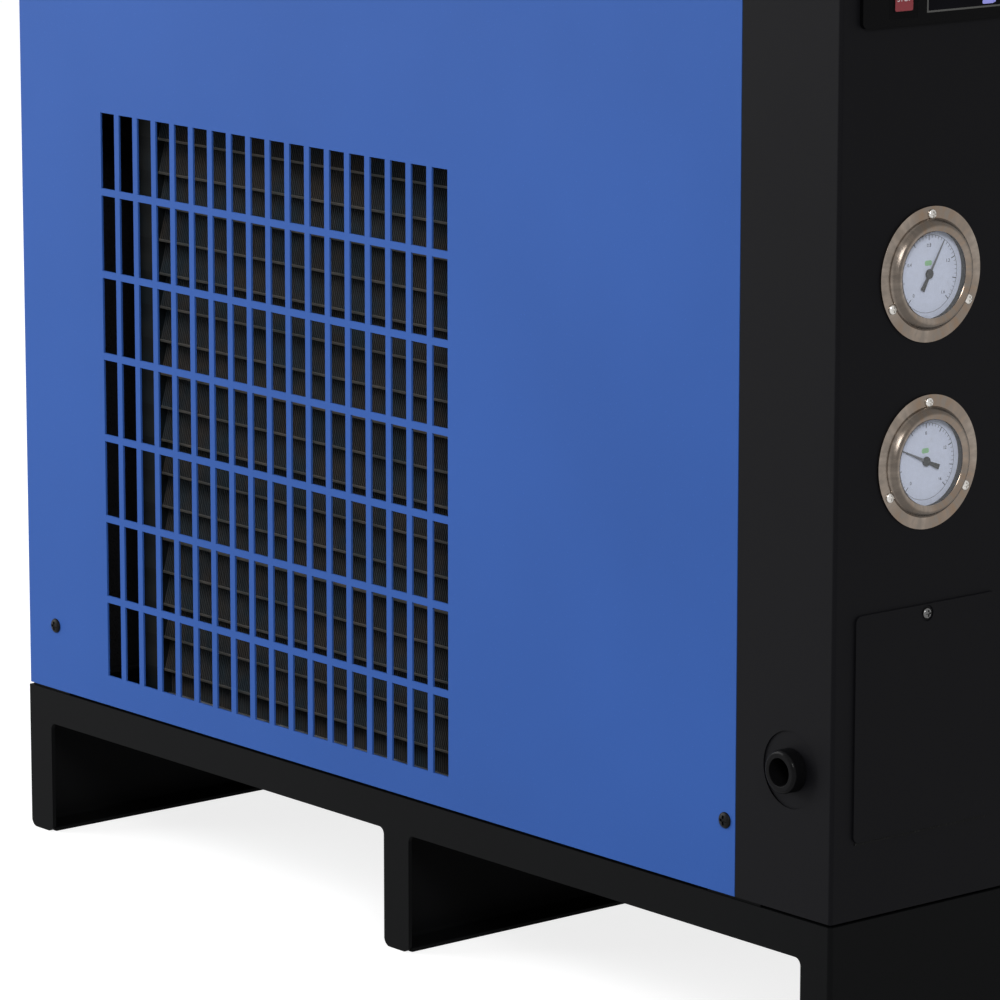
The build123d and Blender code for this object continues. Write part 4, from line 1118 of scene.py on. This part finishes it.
def flat_blade(name, outline, centre, turn, low, high):
    """A flat blade between two depths, drawn along X from the hub and turned about it."""
    shape = bmesh.new()
    faces = []
    for depth in (low, high):
        spots = [shape.verts.new((along, depth, across)) for along, across in outline]
        faces.append(spots)
        shape.faces.new(spots)
    front, back = faces
    for step in range(len(outline)):
        after = (step + 1) % len(outline)
        shape.faces.new((front[step], front[after], back[after], back[step]))
    bmesh.ops.recalc_face_normals(shape, faces=shape.faces)
    mesh = from_bmesh(name, shape)
    mesh.transform(Matrix.Translation((centre.x, 0.0, centre.z)) @ Matrix.Rotation(-turn, 4, "Y"))
    return mesh


def gauge_pointer(place, turn):
    """Thin grey needle, and the dark hub with its tail, of one gauge."""
    centre = gauge_centre(place)
    low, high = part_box(f"{place}_gauge_pointer")
    body = BODY_OF[f"{place}_gauge_pointer"]
    front = low.y + 0.3 * MM
    back = front + 0.4 * MM
    grey = printed(f"{place}_needle_enamel", (0.11, 0.115, 0.13))
    needle = flat_blade(f"{place}_needle", millimetres(NEEDLE_OUTLINE), centre, turn, front, back)
    place_piece(needle, "pointer_black", body, grey)
    foot = (low.y - high.y) / MM
    profile = HUB_PROFILE + [(1.0, foot), (0.0, foot)]
    spindle = turned(f"{place}_hub", millimetres(profile), 32)
    spindle.transform(to_front((centre.x, low.y, centre.z)))
    smooth(spindle, 40)
    tail = flat_blade(f"{place}_tail", millimetres(TAIL_OUTLINE), centre, turn, front, back)
    dark = joined(f"{place}_hub_and_tail", [spindle, tail])
    place_piece(dark, "pointer_black", body, stands_for=(f"{place}_gauge_pointer",))


class DRYER_OT_gauges(bpy.types.Operator):
    """Flange, rolled bezel, window, printed scale and pointer of both gauges."""

    bl_idname = "dryer.gauges"
    bl_label = "Gauges"

    def execute(self, context):
        scene = context.scene
        for place, top_reading, degrees in (("upper", 1.6, 58.9), ("lower", 16.0, 156.6)):
            gauge_print(place, top_reading, scene.dryer_sizes, scene.dryer_colours)
            gauge_metal(place)
            gauge_pointer(place, math.radians(degrees))
        return {"FINISHED"}


# Controls

def key_face(name, label, low, size, front, ink_colour):
    """Coloured face of one key with its word in white."""
    margin = 0.5 * MM
    start = Vector((low[0] + margin, front - INK, low[1] + margin))
    end = Vector((low[0] + size - margin, front, low[1] + size - margin))
    face = rounded_slab(f"{name}_face", start, end, 1.2 * MM)
    place_piece(face, "key_film", material=printed(f"{name}_ink", ink_colour, 0.4))
    centre = ((start.x + end.x) / 2, start.y - INK / 2, (start.z + end.z) / 2)
    words = lettering(f"{name}_word", label, 5.0 * MM, centre, INK)
    white = printed(f"{name}_word_ink", (0.72, 0.68, 0.7), 0.45)
    place_piece(words, "key_film", material=white)


def frame_line(name, low, high, width, front, proud):
    """A thin raised line round a rectangle on the front."""
    shape = bmesh.new()
    for inset, depth in ((0.0, front), (0.0, front - proud), (width, front - proud), (width, front)):
        left, right, bottom, top = low.x + inset, high.x - inset, low.z + inset, high.z - inset
        for x, z in ((left, bottom), (right, bottom), (right, top), (left, top)):
            shape.verts.new((x, depth, z))
    shape.verts.ensure_lookup_table()
    for ring in range(4):
        for corner in range(4):
            after = (corner + 1) % 4
            following = (ring + 1) % 4
            picks = (ring * 4 + corner, ring * 4 + after, following * 4 + after, following * 4 + corner)
            shape.faces.new([shape.verts[pick] for pick in picks])
    bmesh.ops.recalc_face_normals(shape, faces=shape.faces)
    return from_bmesh(name, shape)


def digit_segments(lit_segments, low, width, height, thick, front, film):
    """The lit bars of one seven-segment figure."""
    half, gap, notch = height / 2, thick * 0.2, thick * 0.6
    levels = {"top": height - thick, "middle": half - thick / 2, "bottom": 0.0}
    uprights = {
        "upper_left": (0, half), "upper_right": (1, half), "lower_left": (0, 0.0), "lower_right": (1, 0.0),
    }
    meshes = []
    for name in lit_segments:
        if name in levels:
            left, right = low.x + notch, low.x + width - notch
            bottom, top = levels[name], levels[name] + thick
        else:
            side, foot = uprights[name]
            left = low.x + side * (width - thick)
            right, bottom, top = left + thick, foot + gap, foot + half - gap
        start, end = (left, front - film, low.z + bottom), (right, front, low.z + top)
        meshes.append(rounded_slab(f"segment_{name}", start, end, thick * 0.35, steps=2))
    return meshes


def keys(colours):
    """The two keys on the keypad's film, one above the other."""
    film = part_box("keypad")[0]
    margin, size, spacing = 4.0 * MM, 16.0 * MM, 24.0 * MM
    left, bottom = film.x + margin, film.z + margin
    key_face("stop_key", "STOP", (left, bottom), size, film.y, tuple(colours.stop_key))
    key_face("start_key", "START", (left, bottom + spacing), size, film.y, tuple(colours.start_key))


def display(colours):
    """The line round the display window, and one lit figure."""
    low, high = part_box("display_window")
    reach = Vector((1.0 * MM, 0.0, 1.0 * MM))
    line = frame_line("display_line", low - reach, high + reach, 1.1 * MM, low.y, 0.12 * MM)
    grey = printed("display_line_ink", (0.07, 0.07, 0.066))
    place_piece(line, "panel_plastic", material=grey)
    five = ("top", "upper_left", "middle", "lower_right", "bottom")
    start = Vector((high.x - 21.0 * MM, 0.0, low.z + 1.2 * MM))
    bars = digit_segments(five, start, 13.0 * MM, 24.0 * MM, 2.6 * MM, low.y, 0.06 * MM)
    glow = lit("readout_glow", tuple(colours.readout))
    place_piece(joined("display_reading", bars), "display_glass", material=glow)


class DRYER_OT_controls(bpy.types.Operator):
    """Key faces with their words, the line round the display and its reading."""

    bl_idname = "dryer.controls"
    bl_label = "Controls"

    def execute(self, context):
        keys(context.scene.dryer_colours)
        display(context.scene.dryer_colours)
        return {"FINISHED"}


# Air connections and inside gear

def pipe_ring(shape, centre, y, radii):
    """A ring of vertices round a pipe, with a radius for each."""
    ring = []
    for number, radius in enumerate(radii):
        turn = math.tau * number / len(radii)
        across, up = radius * math.cos(turn), radius * math.sin(turn)
        ring.append(shape.verts.new((centre.x + across, y, centre.z + up)))
    return ring


def thread_radii(turns, radius, depth, around):
    """Radii round a threaded pipe, a number of turns into the thread."""
    phases = [(turns + number / around) % 1.0 for number in range(around)]
    return [radius - depth * (1.0 - abs(2.0 * phase - 1.0)) for phase in phases]


def threaded_pipe(node, sizes):
    """An air connection with a cut thread on its free end."""
    low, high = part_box(node)
    centre = (low + high) / 2
    radius, bore, shoulder_radius = 24.0 * MM, 20.0 * MM, (high.x - low.x) / 2
    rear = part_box("rear_panel")[1].y
    shoulder_end = rear + 6.0 * MM
    start = shoulder_end + 4.0 * MM
    around, per_turn = 48, 6
    plain = (
        (low.y, bore), (low.y, radius), (rear, radius), (rear, shoulder_radius),
        (shoulder_end, shoulder_radius), (shoulder_end, radius),
    )
    shape = bmesh.new()
    loops = [pipe_ring(shape, centre, y, [reach] * around) for y, reach in plain]
    rows = int((high.y - start) / (sizes.thread_pitch / per_turn))
    for row in range(rows + 1):
        along = (high.y - start) * row / rows
        depth = sizes.thread_depth * min(1.0, row / per_turn)
        radii = thread_radii(along / sizes.thread_pitch, radius, depth, around)
        loops.append(pipe_ring(shape, centre, start + along, radii))
    loops.append(pipe_ring(shape, centre, high.y, [bore] * around))
    loops.append(loops[0])
    for first, second in zip(loops, loops[1:]):
        for number in range(around):
            after = (number + 1) % around
            shape.faces.new((first[number], first[after], second[after], second[number]))
    bmesh.ops.recalc_face_normals(shape, faces=shape.faces)
    mesh = from_bmesh(f"{node}_threaded", shape)
    smooth(mesh, 35)
    place_piece(mesh, SLOT_OF[node], stands_for=(node,))


class DRYER_OT_air_ports(bpy.types.Operator):
    """Air connections with their cut threads."""

    bl_idname = "dryer.air_ports"
    bl_label = "Air connections"

    def execute(self, context):
        for node in ("air_inlet_pipe", "air_outlet_pipe"):
            threaded_pipe(node, context.scene.dryer_sizes)
        return {"FINISHED"}


def clamp_screws(name, template, count, first, pitch):
    """A row of clamp screws along X."""
    screws = in_a_row(name, template, count, first, (pitch, 0.0, 0.0), FINISHES["zinc_screw"])
    fixed(screws)


class DRYER_OT_terminals(bpy.types.Operator):
    """Clamp screws in the wells of the terminal block and on the contactor."""

    bl_idname = "dryer.terminals"
    bl_label = "Terminal screws"

    def execute(self, context):
        head = 1.6 * MM
        template = screw_template("clamp_template", 3.2 * MM, 9.0 * MM, head, 1.7 * MM)
        template.data.transform(Matrix.Rotation(math.pi / 2, 4, "X"))
        low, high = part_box("terminal_block")
        wall, pitch, well = 2.0 * MM, 12.0 * MM, 10.0 * MM
        first = (low.x + wall + (pitch - wall) / 2, low.y + well - head, (low.z + high.z) / 2)
        clamp_screws("terminal_screws", template, 7, first, pitch)
        low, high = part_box("contactor")
        step_back, inset, pitch = 12.0 * MM, 6.0 * MM, 11.0 * MM
        for name, level in (("lower", low.z + inset), ("upper", high.z - inset)):
            first = (low.x + pitch / 2 + inset, low.y + step_back - head * 0.4, level)
            clamp_screws(f"contactor_{name}_screws", template, 4, first, pitch)
        discard(template)
        return {"FINISHED"}


# Stage

def plain_light(name, kind, energy, place, target, **settings):
    """A lamp that looks at a point."""
    lamp = bpy.data.lights.new(name, kind)
    lamp.energy = energy
    for setting, value in settings.items():
        setattr(lamp, setting, value)
    piece = bpy.data.objects.new(name, lamp)
    piece.location = place
    piece.rotation_euler = (Vector(target) - Vector(place)).to_track_quat("-Z", "Y").to_euler()
    bpy.context.scene.collection.objects.link(piece)


def seen_directly(tree):
    """1 for camera, glossy and transmission rays."""
    path = tree.node_tree.nodes.new("ShaderNodeLightPath")
    rays = [Value(tree, path.outputs[f"Is {kind} Ray"]) for kind in ("Camera", "Glossy", "Transmission")]
    return (rays[0] + rays[1] + rays[2]).at_most(1.0)


def studio_world(strength):
    """Soft even light from all round, white where it is seen."""
    world = bpy.data.worlds.new("studio")
    world.use_nodes = True
    bpy.context.scene.world = world
    tree = Tree(world.node_tree)
    background = world.node_tree.nodes["Background"]
    tree.feed(background.inputs["Color"], WHITE)
    tree.feed(background.inputs["Strength"], strength + (1.0 - strength) * seen_directly(tree))


def studio_floor():
    """A pale floor that shows white and keeps the object's shadow."""
    finish = Finish("pale_floor", roughness=0.9)
    finish.set(base_color=finish.blend(finish.noise(2.0, 2.0), (0.3, 0.3, 0.305), (0.31, 0.31, 0.31)))
    glow = finish.node("ShaderNodeEmission", None, {"Color": WHITE, "Strength": 0.82})
    lit_by_lamps = Value(finish, finish.shader.outputs[0])
    both = finish.node("ShaderNodeAddShader", None, {0: lit_by_lamps, 1: glow})
    sockets = {0: seen_directly(finish), 1: lit_by_lamps, 2: both}
    shown = finish.node("ShaderNodeMixShader", None, sockets)
    finish.feed(finish.node_tree.nodes["Material Output"].inputs["Surface"], shown)
    shape = bmesh.new()
    place = Matrix.Translation((0.0, 0.0, -0.5 * MM))
    bmesh.ops.create_grid(shape, x_segments=1, y_segments=1, size=30.0, matrix=place)
    floor = link(from_bmesh("studio_floor", shape))
    floor.data.materials.append(finish.material)


def studio_camera():
    """The photograph's camera, fitted to it: degrees off the front, degrees up, and a lens in millimetres."""
    place, yaw, pitch, lens = (-2.48855, -2.81542, 1.0283), 39.7557, -11.2778, 194.0
    camera = bpy.data.cameras.new("camera")
    camera.lens = lens
    camera.sensor_width = 36.0
    camera.sensor_fit = "HORIZONTAL"
    camera.clip_end = 100.0
    piece = bpy.data.objects.new("camera", camera)
    piece.location = place
    piece.rotation_euler = (math.radians(90.0 + pitch), 0.0, -math.radians(yaw))
    bpy.context.scene.collection.objects.link(piece)
    bpy.context.scene.camera = piece


class DRYER_OT_stage(bpy.types.Operator):
    """Plain pale floor, soft light and the camera."""

    bl_idname = "dryer.stage"
    bl_label = "Stage"

    def execute(self, context):
        studio_world(strength=0.36)
        studio_floor()
        studio_camera()
        middle = (0.0, 0.0, 0.45)
        plain_light("key_light", "AREA", 190.0, (-2.9, 3.3, 1.9), middle, size=3.0)
        plain_light("front_light", "AREA", 90.0, (-2.3, -3.2, 2.5), middle, size=1.2)
        plain_light("right_light", "AREA", 60.0, (3.6, 1.4, 2.4), middle, size=2.4)
        context.scene.view_settings.view_transform = "Standard"
        return {"FINISHED"}


class DRYER_PT_panel(bpy.types.Panel):
    """Steps that dress the dryer, with their sizes and colours."""

    bl_idname = "DRYER_PT_panel"
    bl_label = "Air dryer"
    bl_space_type = "VIEW_3D"
    bl_region_type = "UI"
    bl_category = "Dryer"

    def draw(self, context):
        for step in STEPS:
            self.layout.operator(step.bl_idname)
        for group in (context.scene.dryer_sizes, context.scene.dryer_colours):
            for name in group.__annotations__:
                self.layout.prop(group, name)


STEPS = (
    DRYER_OT_stage,
    DRYER_OT_finishes,
    DRYER_OT_sheet_metal,
    DRYER_OT_mouldings,
    DRYER_OT_screws,
    DRYER_OT_gaskets,
    DRYER_OT_condenser,
    DRYER_OT_gauges,
    DRYER_OT_controls,
    DRYER_OT_air_ports,
    DRYER_OT_terminals,
)
CLASSES = (DryerColours, DryerSizes, *STEPS, DRYER_PT_panel)


def register():
    """Makes the classes and their settings known to Blender."""
    for kind in CLASSES:
        bpy.utils.register_class(kind)
    bpy.types.Scene.dryer_colours = PointerProperty(type=DryerColours)
    bpy.types.Scene.dryer_sizes = PointerProperty(type=DryerSizes)


def unregister():
    """Takes the classes and their settings out again."""
    del bpy.types.Scene.dryer_sizes
    del bpy.types.Scene.dryer_colours
    for kind in reversed(CLASSES):
        bpy.utils.unregister_class(kind)


def main():
    """Dresses the part step by step."""
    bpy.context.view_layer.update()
    register()
    for step in STEPS:
        group, name = step.bl_idname.split(".")
        if getattr(getattr(bpy.ops, group), name)() != {"FINISHED"}:
            raise RuntimeError(f"{step.bl_label} did not finish")


if __name__ == "__main__":
    main()
